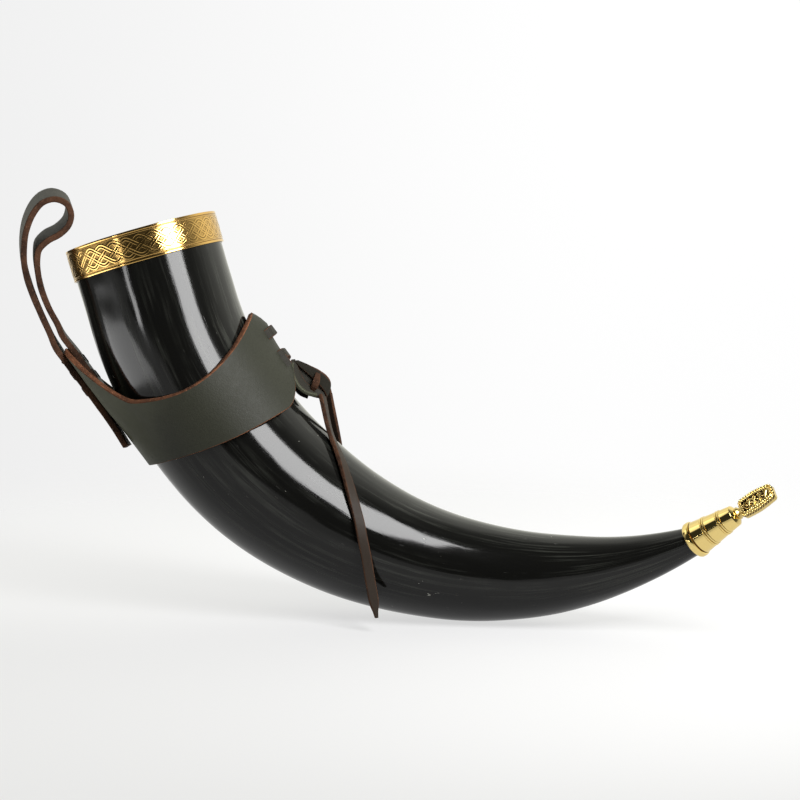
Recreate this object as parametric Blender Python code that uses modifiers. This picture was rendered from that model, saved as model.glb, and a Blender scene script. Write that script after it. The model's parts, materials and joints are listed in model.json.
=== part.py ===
"""A drinking horn in its leather belt holder.

Metres, +Z up, +X from the mouth towards the tip, -Y the side that the tip swings to.
Everything is modelled about the centre of the horn's bend, which is also the axis that
the holder slides round. The whole object is set on z = 0, centred in X and Y, at the end.
"""

import math

import bmesh
import bpy
import numpy as np
from mathutils import Matrix, Vector

# Fits
GAP = 0.0003  # between pieces that touch
SNUG = 0.0004  # between the horn and the leather wrapped round it

# Horn: a straight neck, then one arc that sways out of its plane towards the tip
MOUTH_TILT = math.radians(16.0)
NECK_LENGTH = 0.0404
BEND_RADIUS = 0.177
HORN_LENGTH = 0.3639
SWAY_START = 0.1107
TIP_SWAY = 0.0375
TIP_DROP = 0.0026
MOUTH_RADIUS = 0.0371
THROAT_RADIUS = 0.0377
BELLY_RADIUS = 0.0370
WAIST_RADIUS = 0.0293
TAPER_RADIUS = 0.0204
TIP_RADIUS = 0.0069
TIP_LIFT = math.radians(9.5)
SPIGOT_LENGTH = 0.0140
SPIGOT_RADIUS = 0.0050
HORN_SIDES = 32
HORN_STEPS = 36

# Drinking hollow
WALL_AT_MOUTH = 0.0032
WALL_AT_DEPTH = 0.0060
HOLLOW_DEPTH = 0.2267
HOLLOW_END_LENGTH = 0.018
HOLLOW_SIDES = 24
HOLLOW_STEPS = 18

# Rim band
BAND_HEIGHT = 0.0155
BAND_WALL = 0.0007
BAND_BEAD = 0.0002
BAND_BORDER = 0.0022
BAND_STEPS = 64

# Tip ferrule
FERRULE_LENGTH = 0.0265
FLANGE_RADIUS = 0.0089
FLANGE_HEIGHT = 0.0037
FLANGE_SLOPE = 0.0009
FLANGE_CHAMFER = 0.0006
CONE_BASE_RADIUS = 0.0082
CONE_END_RADIUS = 0.0050
NOSE_RADIUS = 0.0036
NOSE_HEIGHT = 0.0018
BEAD_PAIR_AT = (0.0104, 0.0184)
BEAD_SPACING = 0.0011
BEAD_HEIGHT = 0.0004
FERRULE_STEPS = 32

# Finial
FINIAL_LENGTH = 0.0206
FINIAL_BASE_WIDTH = 0.0088
FINIAL_WIDTH = 0.0098
FINIAL_END_WIDTH = 0.0074
FINIAL_THICKNESS = 0.0052
FINIAL_EDGE = 0.0013
FINIAL_WIDEST_AT = 0.45  # share of the way up
FINIAL_CORNER = 0.1  # share of the length that each end's corners take
FINIAL_NECK_RADIUS = 0.0025
FINIAL_NECK_LENGTH = 0.0024
FINIAL_SPIGOT_RADIUS = 0.0016
FINIAL_SPIGOT_LENGTH = 0.0040
FINIAL_ROLL = math.radians(60.0)

# Collar: a straight-sided sleeve; heights are along the sleeve, from its middle
HOLDER_ANGLE = math.radians(36.5)
HOLDER_TURN = math.radians(12.0)
LEATHER = 0.0026
FRONT_RELIEF = 0.0048
BACK_CORNER = 0.0260
COLLAR_TOP_BACK = 0.0450
COLLAR_TOP_SIDE = 0.0228
COLLAR_TOP_FRONT = 0.0358
COLLAR_LOW_BACK = 0.0045
COLLAR_LOW_SIDE = -0.0095
COLLAR_LOW_FRONT = -0.0142
COLLAR_CORNER_RISE = 0.0165
COLLAR_CORNER_FROM = math.radians(132.0)
TAB_TOP = 0.0750
TAB_SHOULDER = math.radians(32.0)
SEAM_GAP = 0.0012
COLLAR_COLUMNS = 72

# Belt strap
STRAP_WIDTH = 0.0250
STRAP_THICKNESS = 0.0030
OUTER_LEG_LOW = 0.0188
INNER_LEG_LOW = 0.0460
HINGE_ABOVE_TAB = 0.0015
LOOP_SWING_GAP = 0.0011

# Sewing
THREAD_RADIUS = 0.00045
STITCH_COUNT = 5
STITCH_END_INSET = 0.0040
STITCH_ROW_INSET = 0.0035

# Lace
LACE_WIDTH = 0.0055
LACE_THICKNESS = 0.0022
CROSSING_AT = (0.0228, 0.0099)
CROSSING_REACH = 0.0060
CROSSING_ARCH = 0.0015
KNOT_RADII = (0.0048, 0.0115, 0.0075)
KNOT_AT = -0.0085
KNOT_SIDE = -0.0015
KNOT_EXIT_WAY = (0.25, -0.9, 0.42)  # in on the near side and out on the far, up, and to one side
TAIL_RADIUS = 0.0015
TAIL_SPACING = 0.0070

# Routes of the lace tails over the horn: degrees past the neck, degrees round from the inner curve
FRONT_TAIL_OVER = ((36.5, 12.0), (43.0, 38.0), (48.5, 64.0), (51.5, 84.0))
FRONT_TAIL_DROP = Vector((0.0060, -0.0020, -0.0340))
REAR_TAIL_OVER = ((39.4, -45.0), (41.3, -59.0), (43.0, -72.0), (44.5, -85.0))
REAR_TAIL_DROP = Vector((-0.0010, 0.0015, -0.0450))

# Route of the belt loop's centre line from its hinge: out from the horn, up the sleeve
LOOP_ROUTE = (
    (-0.0023, 0.0142),
    (-0.0046, 0.0246),
    (-0.0074, 0.0350),
    (-0.0104, 0.0430),
    (-0.0147, 0.0508),
    (-0.0196, 0.0571),
    (-0.0249, 0.0620),
    (-0.0310, 0.0657),
    (-0.0386, 0.0674),
    (-0.0443, 0.0652),
    (-0.0473, 0.0600),
    (-0.0462, 0.0549),
    (-0.0420, 0.0511),
    (-0.0352, 0.0498),
    (-0.0286, 0.0506),
    (-0.0230, 0.0496),
    (-0.0190, 0.0456),
    (-0.0150, 0.0391),
    (-0.0118, 0.0323),
    (-0.0087, 0.0219),
    (-0.0071, 0.0115),
)
LOOP_END_LEAD = 0.0080
LOOP_RESOLUTION = 3

# The loop leans: its far edge rides higher than its near one, from a height above the hinge
LOOP_LEAN = 0.36
LOOP_LEAN_IN = 0.055
LOOP_LEAN_START = 0.0215
LOOP_LEAN_FULL = 0.0555

# Colours
HORN_BLACK = (0.012, 0.012, 0.011)
BRASS_GOLD = (0.80, 0.58, 0.22)
LEATHER_OLIVE = (0.075, 0.066, 0.050)
STRAP_BROWN = (0.085, 0.055, 0.035)
THREAD_DARK = (0.040, 0.028, 0.018)

BEND_START = math.pi + MOUTH_TILT
HOLDER_AT = math.pi + HOLDER_ANGLE


# Shape of the horn


def smooth_value(stations, values, at):
    """The value at a place between stations, on cubic pieces that share their slopes."""
    slopes = np.gradient(values, stations)
    i = int(np.clip(np.searchsorted(stations, at) - 1, 0, len(stations) - 2))
    width = stations[i + 1] - stations[i]
    t = (at - stations[i]) / width
    rise = values[i + 1] - values[i]
    left = slopes[i] * width - rise
    right = rise - slopes[i + 1] * width
    return values[i] + t * rise + t * (1 - t) * ((1 - t) * left + t * right)


def bend_direction(angle):
    return Vector((math.cos(angle), 0, math.sin(angle)))


def bend_heading(angle):
    """The way towards the tip at an angle of the bend."""
    return Vector((-math.sin(angle), 0, math.cos(angle)))


def spine(along):
    """The horn's centre line at a length from the rim, about the centre of the bend."""
    if along > HORN_LENGTH:
        return spine(HORN_LENGTH) + tip_axis() * (along - HORN_LENGTH)
    turned = max(along - NECK_LENGTH, 0) / BEND_RADIUS
    point = bend_direction(BEND_START + turned) * BEND_RADIUS
    point += bend_heading(BEND_START) * min(along - NECK_LENGTH, 0)
    share = max(along - SWAY_START, 0) / (HORN_LENGTH - SWAY_START)
    return point + Vector((0, -TIP_SWAY * share**3, -TIP_DROP * share**2))


def tip_axis():
    turned = (HORN_LENGTH - NECK_LENGTH) / BEND_RADIUS
    sway_slope = -3 * TIP_SWAY / (HORN_LENGTH - SWAY_START)
    heading = bend_heading(BEND_START + turned)
    return (heading + Vector((0, sway_slope, math.tan(TIP_LIFT)))).normalized()


def horn_radius(along):
    if along > HORN_LENGTH:
        share = (along - HORN_LENGTH) / SPIGOT_LENGTH
        return TIP_RADIUS + (SPIGOT_RADIUS - TIP_RADIUS) * share
    radii = np.array(
        (MOUTH_RADIUS, THROAT_RADIUS, BELLY_RADIUS, WAIST_RADIUS, TAPER_RADIUS, TIP_RADIUS)
    )
    stations = np.linspace(0, HORN_LENGTH, len(radii))
    return float(smooth_value(stations, radii, along))


def hollow_radius(along):
    """The hollow follows the horn at a growing wall and closes in a round end."""
    wall = WALL_AT_MOUTH + (WALL_AT_DEPTH - WALL_AT_MOUTH) * max(along, 0) / HOLLOW_DEPTH
    into_end = max(along - (HOLLOW_DEPTH - HOLLOW_END_LENGTH), 0) / HOLLOW_END_LENGTH
    return (horn_radius(max(along, 0)) - wall) * math.sqrt(1 - 0.97 * into_end**2)


# Building helpers


def clear_scene():
    for obj in list(bpy.data.objects):
        bpy.data.objects.remove(obj, do_unlink=True)


def new_collection(name, parent):
    collection = bpy.data.collections.new(name)
    parent.children.link(collection)
    return collection


def finish(name, colour, roughness, metallic):
    made = bpy.data.materials.new(name)
    made.use_nodes = True
    shader = made.node_tree.nodes["Principled BSDF"]
    shader.inputs["Base Color"].default_value = (*colour, 1)
    shader.inputs["Roughness"].default_value = roughness
    shader.inputs["Metallic"].default_value = metallic
    return made


def empty(name, parent=None, matrix=None):
    made = bpy.data.objects.new(name, None)
    bpy.context.scene.collection.objects.link(made)
    made.parent = parent
    made.matrix_local = matrix or Matrix()
    return made


def mesh_object(name, bm, collection, parent, material, matrix=None):
    mesh = bpy.data.meshes.new(name)
    bm.to_mesh(mesh)
    bm.free()
    mesh.materials.append(material)
    made = bpy.data.objects.new(name, mesh)
    collection.objects.link(made)
    made.parent = parent
    made.matrix_local = matrix or Matrix()
    return made


def make_cutter(obj):
    obj.hide_render = True
    obj.display_type = "WIRE"
    return obj


def smooth_shading(mesh, angle=35.0):
    mesh.shade_smooth()
    mesh.set_sharp_from_angle(angle=math.radians(angle))


def curve_to_bmesh(curve):
    """The mesh of a curve, with its caps welded on."""
    guide = bpy.data.objects.new("guide", curve)
    bpy.context.scene.collection.objects.link(guide)
    graph = bpy.context.evaluated_depsgraph_get()
    mesh = bpy.data.meshes.new_from_object(guide.evaluated_get(graph))
    bm = bmesh.new()
    bm.from_mesh(mesh)
    bmesh.ops.remove_doubles(bm, verts=bm.verts, dist=1e-6)
    bpy.data.objects.remove(guide)
    bpy.data.meshes.remove(mesh)
    return bm


def poly_curve(name, points, radii, sides):
    """A round tube through points, with a radius at each."""
    curve = bpy.data.curves.new(name, "CURVE")
    curve.dimensions = "3D"
    curve.bevel_depth = 1.0
    curve.bevel_resolution = sides // 2 - 2
    curve.use_fill_caps = True
    spline = curve.splines.new("POLY")
    spline.points.add(len(points) - 1)
    for knot, point, radius in zip(spline.points, points, radii):
        knot.co = (*point, 1)
        knot.radius = radius
    return curve


def turned_piece(name, profile, steps, collection, parent, material, matrix):
    """A profile of (radius, height) pairs, outer side first from top to bottom, turned about Z."""
    bm = bmesh.new()
    verts = [bm.verts.new((radius, 0, height)) for radius, height in profile]
    for a, b in zip(verts, verts[1:]):
        bm.edges.new((a, b))
    if profile[0][0] > 0:
        bm.edges.new((verts[-1], verts[0]))
    made = mesh_object(name, bm, collection, parent, material, matrix)
    screw = made.modifiers.new("turn", "SCREW")
    screw.steps = steps
    screw.render_steps = steps
    screw.use_merge_vertices = True
    screw.merge_threshold = 1e-5
    screw.use_smooth_shade = True
    return made


def box_bmesh(low, high):
    bm = bmesh.new()
    bmesh.ops.create_cube(bm, size=1)
    low, high = Vector(low), Vector(high)
    bmesh.ops.scale(bm, vec=high - low, verts=bm.verts)
    bmesh.ops.translate(bm, vec=(low + high) / 2, verts=bm.verts)
    return bm


def cylinder_bmesh(radius, length, sides):
    bm = bmesh.new()
    bmesh.ops.create_cone(
        bm, cap_ends=True, segments=sides, radius1=radius, radius2=radius, depth=length
    )
    return bm


def boolean(obj, name, operation, cutter=None, group=None):
    cut = obj.modifiers.new(name, "BOOLEAN")
    cut.operation = operation
    if group:
        cut.operand_type = "COLLECTION"
        cut.collection = group
    else:
        cut.object = cutter


def frame_matrix(x, y, z, origin):
    return Matrix.Translation(origin) @ Matrix((x, y, z)).transposed().to_4x4()


# Horn and its brass


def make_horn(parts, cutters, root):
    material = finish("polished_horn", HORN_BLACK, 0.14, 0)
    lengths = np.linspace(0, HORN_LENGTH, HORN_STEPS + 1)
    lengths = [*map(float, lengths), HORN_LENGTH + SPIGOT_LENGTH]
    outer = poly_curve("horn", [spine(s) for s in lengths], map(horn_radius, lengths), HORN_SIDES)
    horn = mesh_object("horn", curve_to_bmesh(outer), parts, root, material)
    smooth_shading(horn.data)

    above_rim = -2 * (GAP + BAND_WALL)
    body = np.linspace(0, HOLLOW_DEPTH - HOLLOW_END_LENGTH, HOLLOW_STEPS)
    end = HOLLOW_DEPTH - HOLLOW_END_LENGTH * (1 - np.array((0.5, 0.8, 0.95, 1.0)))
    depths = [above_rim, *map(float, body), *map(float, end)]
    inner = poly_curve("hollow", [spine(s) for s in depths], map(hollow_radius, depths), HOLLOW_SIDES)
    hollow = make_cutter(mesh_object("hollow", curve_to_bmesh(inner), cutters, root, material))
    boolean(horn, "hollow", "DIFFERENCE", hollow)


def make_rim_band(parts, root):
    """An L-section ring: a wall outside the horn and a lip over its end, with beaded borders."""
    inside = max(horn_radius(0), horn_radius(BAND_HEIGHT)) + GAP
    outside = inside + BAND_WALL
    mouth = horn_radius(0) - WALL_AT_MOUTH
    top = GAP + BAND_WALL
    foot = top - BAND_HEIGHT
    proud = outside + BAND_BEAD
    profile = (
        (proud, top),
        (proud, top - BAND_BORDER),
        (outside, top - BAND_BORDER),
        (outside, foot + BAND_BORDER),
        (proud, foot + BAND_BORDER),
        (proud, foot),
        (inside, foot),
        (inside, GAP),
        (mouth, GAP),
        (mouth, top),
    )
    matrix = Matrix.Translation(spine(0)) @ Matrix.Rotation(-MOUTH_TILT, 4, "Y")
    brass = finish("band_brass", BRASS_GOLD, 0.25, 1)
    turned_piece("rim_band", profile, BAND_STEPS, parts, root, brass, matrix)


def tip_frame():
    """Z out of the tip, Y out of the finial's carved face."""
    axis = tip_axis()
    up = (Vector((0, 0, 1)) - axis * axis.z).normalized()
    near = up.cross(axis)
    face = up * math.cos(FINIAL_ROLL) - near * math.copysign(math.sin(FINIAL_ROLL), near.y)
    return frame_matrix(face.cross(axis), face, axis, spine(HORN_LENGTH))


def cone_radius(height):
    share = (height - FLANGE_HEIGHT) / (FERRULE_LENGTH - NOSE_HEIGHT - FLANGE_HEIGHT)
    return CONE_BASE_RADIUS + (CONE_END_RADIUS - CONE_BASE_RADIUS) * share


def make_tip_ferrule(parts, root):
    """A tapered cap: base flange, two pairs of beads, a nose with the finial's socket."""
    socket = FINIAL_SPIGOT_RADIUS + GAP
    socket_floor = FERRULE_LENGTH - FINIAL_SPIGOT_LENGTH - GAP
    profile = [(0, socket_floor), (socket, socket_floor), (socket, FERRULE_LENGTH)]
    profile += [(NOSE_RADIUS, FERRULE_LENGTH), (CONE_END_RADIUS, FERRULE_LENGTH - NOSE_HEIGHT)]
    for pair in reversed(BEAD_PAIR_AT):
        for height in (pair + BEAD_SPACING / 2, pair - BEAD_SPACING / 2):
            for step, rise in ((0.4, 0), (0, BEAD_HEIGHT), (-0.4, 0)):
                at = height + step * BEAD_SPACING
                profile.append((cone_radius(at) + rise, at))
    profile += [
        (CONE_BASE_RADIUS, FLANGE_HEIGHT),
        (FLANGE_RADIUS, FLANGE_HEIGHT - FLANGE_SLOPE),
        (FLANGE_RADIUS, FLANGE_SLOPE),
        (FLANGE_RADIUS - FLANGE_CHAMFER, 0),
        (TIP_RADIUS + GAP, 0),
        (SPIGOT_RADIUS + GAP, SPIGOT_LENGTH + GAP),
        (0, SPIGOT_LENGTH + GAP),
    ]
    brass = finish("ferrule_brass", BRASS_GOLD, 0.16, 1)
    turned_piece("tip_ferrule", profile, FERRULE_STEPS, parts, root, brass, tip_frame())


def make_finial(parts, cutters, root):
    """A flat oblong knop with a round edge, on a neck whose spigot enters the ferrule."""
    brass = finish("finial_brass", BRASS_GOLD, 0.28, 1)
    foot = FERRULE_LENGTH + GAP
    shoulder = foot + FINIAL_NECK_LENGTH
    crown = foot + FINIAL_LENGTH
    middle = shoulder + FINIAL_WIDEST_AT * (crown - shoulder)
    corner = FINIAL_CORNER * (crown - shoulder)
    outline = (
        (0, shoulder),
        (FINIAL_BASE_WIDTH / 2, shoulder + corner),
        (FINIAL_WIDTH / 2, middle),
        (FINIAL_END_WIDTH / 2, crown - corner),
        (0, crown),
    )
    outline += tuple((-x, z) for x, z in reversed(outline[1:-1]))
    curve = bpy.data.curves.new("finial", "CURVE")
    curve.dimensions = "2D"
    curve.fill_mode = "BOTH"
    curve.resolution_u = 4
    curve.bevel_depth = FINIAL_EDGE
    curve.bevel_resolution = 1
    curve.offset = -FINIAL_EDGE
    curve.extrude = FINIAL_THICKNESS / 2 - FINIAL_EDGE
    spline = curve.splines.new("BEZIER")
    spline.bezier_points.add(len(outline) - 1)
    spline.use_cyclic_u = True
    for knot, (x, z) in zip(spline.bezier_points, outline):
        knot.co = (x, z, 0)
        knot.handle_left_type = knot.handle_right_type = "AUTO"
    bm = curve_to_bmesh(curve)
    bmesh.ops.rotate(bm, verts=bm.verts, cent=(0, 0, 0), matrix=Matrix.Rotation(math.pi / 2, 3, "X"))
    finial = mesh_object("finial", bm, parts, root, brass, tip_frame())
    smooth_shading(finial.data)

    bite = 2 * FINIAL_EDGE
    neck = cylinder_bmesh(FINIAL_NECK_RADIUS, FINIAL_NECK_LENGTH + bite, 20)
    bmesh.ops.translate(neck, verts=neck.verts, vec=(0, 0, foot + (FINIAL_NECK_LENGTH + bite) / 2))
    spigot_length = FINIAL_SPIGOT_LENGTH + bite
    spigot = cylinder_bmesh(FINIAL_SPIGOT_RADIUS, spigot_length, 16)
    bmesh.ops.translate(
        spigot, verts=spigot.verts, vec=(0, 0, FERRULE_LENGTH + bite - spigot_length / 2)
    )
    for name, piece in (("finial_neck", neck), ("finial_spigot", spigot)):
        helper = make_cutter(mesh_object(name, piece, cutters, root, brass, tip_frame()))
        boolean(finial, name, "UNION", helper)


# Leather holder, in a frame on the horn's centre line: X out at the back, Y up the sleeve, Z across


def holder_station():
    return NECK_LENGTH + BEND_RADIUS * (HOLDER_AT - BEND_START)


def holder_frame():
    out = bend_direction(HOLDER_AT)
    up = -bend_heading(HOLDER_AT)
    frame = frame_matrix(out, up, Vector((0, 1, 0)), spine(holder_station()))
    return frame @ Matrix.Rotation(HOLDER_TURN, 4, "Y")


def sleeve_radius():
    """Inside of the sleeve at its back and sides: snug on the thickest horn that it covers."""
    heights = (COLLAR_LOW_SIDE, 0, COLLAR_TOP_SIDE)
    return max(horn_radius(holder_station() - height) for height in heights) + SNUG


def edge_height(around, back, side, front):
    """An edge of the collar: its heights at the back, sides and front, with a cosine between."""
    mean = (back + front) / 4 + side / 2
    return mean + (back - front) / 2 * math.cos(around) + (mean - side) * math.cos(2 * around)


def smooth_step(start, end, value):
    t = min(max((value - start) / (end - start), 0), 1)
    return t * t * (3 - 2 * t)


def collar_top(around):
    edge = edge_height(around, COLLAR_TOP_BACK, COLLAR_TOP_SIDE, COLLAR_TOP_FRONT)
    tab_edge = math.asin(STRAP_WIDTH / 2 / sleeve_radius())
    tab = smooth_step(tab_edge + TAB_SHOULDER, tab_edge, abs(around)) ** 2
    return edge + (TAB_TOP - edge) * tab


def collar_bottom(around):
    """Cut away towards the front seam, below the lacing."""
    edge = edge_height(around, COLLAR_LOW_BACK, COLLAR_LOW_SIDE, COLLAR_LOW_FRONT)
    return edge + COLLAR_CORNER_RISE * smooth_step(COLLAR_CORNER_FROM, math.pi, abs(around))


def sleeve_point(around, height, flatness):
    """Inner face of the sleeve; around is 0 at the back and a half turn at the front seam."""
    radius = sleeve_radius()
    side = -radius * math.sin(around)
    if math.cos(around) > 0:
        flat = flatness * smooth_step(BACK_CORNER, STRAP_WIDTH / 2, abs(side))
        depth = radius * (math.cos(around) * (1 - flat) + flat)
    else:
        depth = (radius + FRONT_RELIEF) * math.cos(around)
    return Vector((depth, height, side))


def make_collar(parts, slots, stitches, pivot):
    """Round at its lower edge, flat behind the strap from halfway up."""
    bm = bmesh.new()
    bmesh.ops.create_grid(bm, x_segments=COLLAR_COLUMNS, y_segments=2, size=1)
    half_turn = math.pi - SEAM_GAP / 2 / sleeve_radius()
    for vert in bm.verts:
        around = vert.co.x * half_turn
        low, top = collar_bottom(around), collar_top(around)
        share = (vert.co.y + 1) / 2
        vert.co = sleeve_point(around, low + (top - low) * share, min(2 * share, 1))
    leather = finish("collar_leather", LEATHER_OLIVE, 0.62, 0)
    collar = mesh_object("collar", bm, parts, pivot, leather)
    thick = collar.modifiers.new("leather", "SOLIDIFY")
    thick.thickness = LEATHER
    thick.offset = 1
    thick.use_even_offset = True
    boolean(collar, "lacing_slots", "DIFFERENCE", group=slots)
    boolean(collar, "stitch_holes", "DIFFERENCE", group=stitches)


def strap_faces():
    """How far out the faces lie: the outer leg's inner and outer face, then the inner leg's."""
    outer = sleeve_radius() + LEATHER + GAP
    inner = sleeve_radius() - GAP
    return outer, outer + STRAP_THICKNESS, inner - STRAP_THICKNESS, inner


def inner_leg_top():
    return TAB_TOP - LOOP_SWING_GAP


def make_strap_legs(parts, stitches, pivot):
    """The two ends of the strap, either side of the tab."""
    leather = finish("strap_leather", STRAP_BROWN, 0.6, 0)
    outer_in, outer_out, inner_in, inner_out = strap_faces()
    half = STRAP_WIDTH / 2
    outer_top = TAB_TOP + HINGE_ABOVE_TAB - STRAP_THICKNESS / 2 - GAP
    legs = (
        ("strap_outer_leg", (outer_in, OUTER_LEG_LOW, -half), (outer_out, outer_top, half)),
        ("strap_inner_leg", (inner_in, INNER_LEG_LOW, -half), (inner_out, inner_leg_top(), half)),
    )
    for name, low, high in legs:
        leg = mesh_object(name, box_bmesh(low, high), parts, pivot, leather)
        boolean(leg, "stitch_holes", "DIFFERENCE", group=stitches)


def loop_hinge():
    outer_in, outer_out, _, _ = strap_faces()
    return Vector(((outer_in + outer_out) / 2, TAB_TOP + HINGE_ABOVE_TAB, 0))


def make_strap_loop(parts, cutters, pivot):
    """The folded middle of the strap: a ribbon along its route, with a round end on the hinge."""
    _, _, inner_in, inner_out = strap_faces()
    hinge = loop_hinge()
    loop_pivot = empty("belt_loop_pivot", pivot, Matrix.Translation(hinge))
    end = Vector(((inner_in + inner_out) / 2, TAB_TOP, 0)) - hinge
    lead = Vector((0, LOOP_END_LEAD, 0))
    middle = [Vector((out, up, 0)) for out, up in LOOP_ROUTE]
    route = [Vector(), *middle, end + lead, end]

    curve = bpy.data.curves.new("strap_loop", "CURVE")
    curve.dimensions = "2D"
    curve.fill_mode = "NONE"
    curve.resolution_u = LOOP_RESOLUTION
    curve.extrude = STRAP_WIDTH / 2
    spline = curve.splines.new("BEZIER")
    spline.bezier_points.add(len(route) - 1)
    for knot, point in zip(spline.bezier_points, route):
        knot.co = point
        knot.handle_left_type = knot.handle_right_type = "AUTO"
    bm = curve_to_bmesh(curve)
    for vert in bm.verts:
        lean = smooth_step(LOOP_LEAN_START, LOOP_LEAN_FULL, vert.co.y)
        vert.co += Vector((-LOOP_LEAN_IN, LOOP_LEAN, 0)) * lean * vert.co.z
    leather = finish("loop_leather", STRAP_BROWN, 0.6, 0)
    loop = mesh_object("strap_loop", bm, parts, loop_pivot, leather)
    thick = loop.modifiers.new("leather", "SOLIDIFY")
    thick.thickness = STRAP_THICKNESS
    thick.offset = 0
    thick.use_even_offset = True

    knuckle = cylinder_bmesh(STRAP_THICKNESS / 2, STRAP_WIDTH, 16)
    helper = make_cutter(mesh_object("loop_knuckle", knuckle, cutters, loop_pivot, leather))
    boolean(loop, "knuckle", "UNION", helper)


def stitch_rows():
    side = STRAP_WIDTH / 2 - STITCH_ROW_INSET
    return (("strap_thread_near", -side), ("strap_thread_far", side))


def stitch_heights():
    """Evenly spread over the inner leg, which is the shorter one."""
    low = INNER_LEG_LOW + STITCH_END_INSET
    high = inner_leg_top() - STITCH_END_INSET
    return [float(height) for height in np.linspace(low, high, STITCH_COUNT)]


def make_stitch_holes(group, pivot):
    outer_out, inner_in = strap_faces()[1:3]
    material = finish("hole", THREAD_DARK, 0.8, 0)
    for row, (_, side) in enumerate(stitch_rows()):
        for i, height in enumerate(stitch_heights()):
            bm = cylinder_bmesh(THREAD_RADIUS + GAP, outer_out - inner_in + LEATHER, 10)
            middle = Vector(((outer_out + inner_in) / 2, height, side))
            matrix = Matrix.Translation(middle) @ Matrix.Rotation(math.pi / 2, 4, "Y")
            make_cutter(mesh_object(f"stitch_hole_{row}_{i}", bm, group, pivot, material, matrix))


def make_threads(parts, pivot):
    """A running stitch along each side of the strap, through both legs and the tab."""
    thread = finish("waxed_thread", THREAD_DARK, 0.7, 0)
    outer_out, inner_in = strap_faces()[1:3]
    over = outer_out + GAP + THREAD_RADIUS
    under = inner_in - GAP - THREAD_RADIUS
    for name, side in stitch_rows():
        path = []
        for i, height in enumerate(stitch_heights()):
            ends = (under, over) if i % 2 == 0 else (over, under)
            path += [(out, height, side) for out in ends]
        curve = poly_curve(name, path, [THREAD_RADIUS] * len(path), 8)
        mesh_object(name, curve_to_bmesh(curve), parts, pivot, thread)


def make_lacing_slots(group, pivot):
    material = finish("slot", THREAD_DARK, 0.8, 0)
    inner = -sleeve_radius() - FRONT_RELIEF
    across = LACE_THICKNESS / 2 + GAP
    along = LACE_WIDTH / 2 + GAP
    for row, height in enumerate(CROSSING_AT):
        for side in (-1, 1):
            middle = side * (CROSSING_REACH + LACE_THICKNESS / 2)
            low = (inner - 2 * LEATHER, height - along, middle - across)
            high = (inner + 2 * LEATHER, height + along, middle + across)
            name = f"slot_{row}_{'near' if side < 0 else 'far'}"
            make_cutter(mesh_object(name, box_bmesh(low, high), group, pivot, material))


def make_lace_crossings(parts, pivot):
    """Each crossing is a bridge over the seam with a leg down through a slot on either side."""
    thong = finish("lace_leather", STRAP_BROWN, 0.65, 0)
    inner = -sleeve_radius() - FRONT_RELIEF
    outer = inner - LEATHER - GAP
    reach = CROSSING_REACH + LACE_THICKNESS
    inside = reach - LACE_THICKNESS
    crown = outer - LACE_THICKNESS
    foot = inner + LACE_THICKNESS / 2
    outline = (
        (foot, -reach),
        (crown, -reach),
        (crown - CROSSING_ARCH, -inside / 2),
        (crown - CROSSING_ARCH, inside / 2),
        (crown, reach),
        (foot, reach),
        (foot, inside),
        (outer, inside),
        (outer - CROSSING_ARCH, inside / 3),
        (outer - CROSSING_ARCH, -inside / 3),
        (outer, -inside),
        (foot, -inside),
    )
    for name, height in zip(("lace_upper_crossing", "lace_lower_crossing"), CROSSING_AT):
        bm = bmesh.new()
        face = bm.faces.new([bm.verts.new((x, height - LACE_WIDTH / 2, z)) for x, z in outline])
        made = bmesh.ops.extrude_face_region(bm, geom=[face])
        top = [item for item in made["geom"] if isinstance(item, bmesh.types.BMVert)]
        bmesh.ops.translate(bm, verts=top, vec=(0, LACE_WIDTH, 0))
        bmesh.ops.recalc_face_normals(bm, faces=bm.faces)
        mesh_object(name, bm, parts, pivot, thong)


def knot_centre():
    outer = -sleeve_radius() - FRONT_RELIEF - LEATHER - GAP
    return Vector((outer - KNOT_RADII[0], KNOT_AT, KNOT_SIDE))


def make_lace_knot(parts, pivot):
    bm = bmesh.new()
    bmesh.ops.create_uvsphere(bm, u_segments=20, v_segments=12, radius=1)
    bmesh.ops.scale(bm, vec=KNOT_RADII, verts=bm.verts)
    bmesh.ops.translate(bm, vec=knot_centre(), verts=bm.verts)
    knot = mesh_object("lace_knot", bm, parts, pivot, finish("knot_leather", STRAP_BROWN, 0.65, 0))
    smooth_shading(knot.data, 60.0)


def knot_exit(side, first):
    """Where a tail leaves the knot towards its first place on the horn: low on one side, just clear of it."""
    aslant, up, aside = KNOT_EXIT_WAY
    way = Vector((-aslant * side, up, aside * side)).normalized()
    on_knot = knot_centre() + Vector(a * b for a, b in zip(way, KNOT_RADII))
    out = Vector(a / b for a, b in zip(way, KNOT_RADII)).normalized()
    facing = (first - on_knot).normalized().dot(out)
    return on_knot + out * (GAP + TAIL_RADIUS * math.sqrt(1 - facing**2))


def over_horn(past_neck, round_from_inside):
    """A tail's centre where it lies on the horn."""
    along = NECK_LENGTH + BEND_RADIUS * math.radians(past_neck)
    inward = -bend_direction(BEND_START + math.radians(past_neck))
    wrap = math.radians(round_from_inside)
    way = inward * math.cos(wrap) - Vector((0, 1, 0)) * math.sin(wrap)
    return spine(along) + way * (horn_radius(along) + SNUG + TAIL_RADIUS)


def laid_route(over):
    """Close points on the horn through a few places on it."""
    places = np.array(over)
    marks = np.arange(len(places))
    finer = np.linspace(0, marks[-1], 4 * marks[-1] + 1)
    return [over_horn(*(smooth_value(marks, axis, at) for axis in places.T)) for at in finer]


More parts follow.
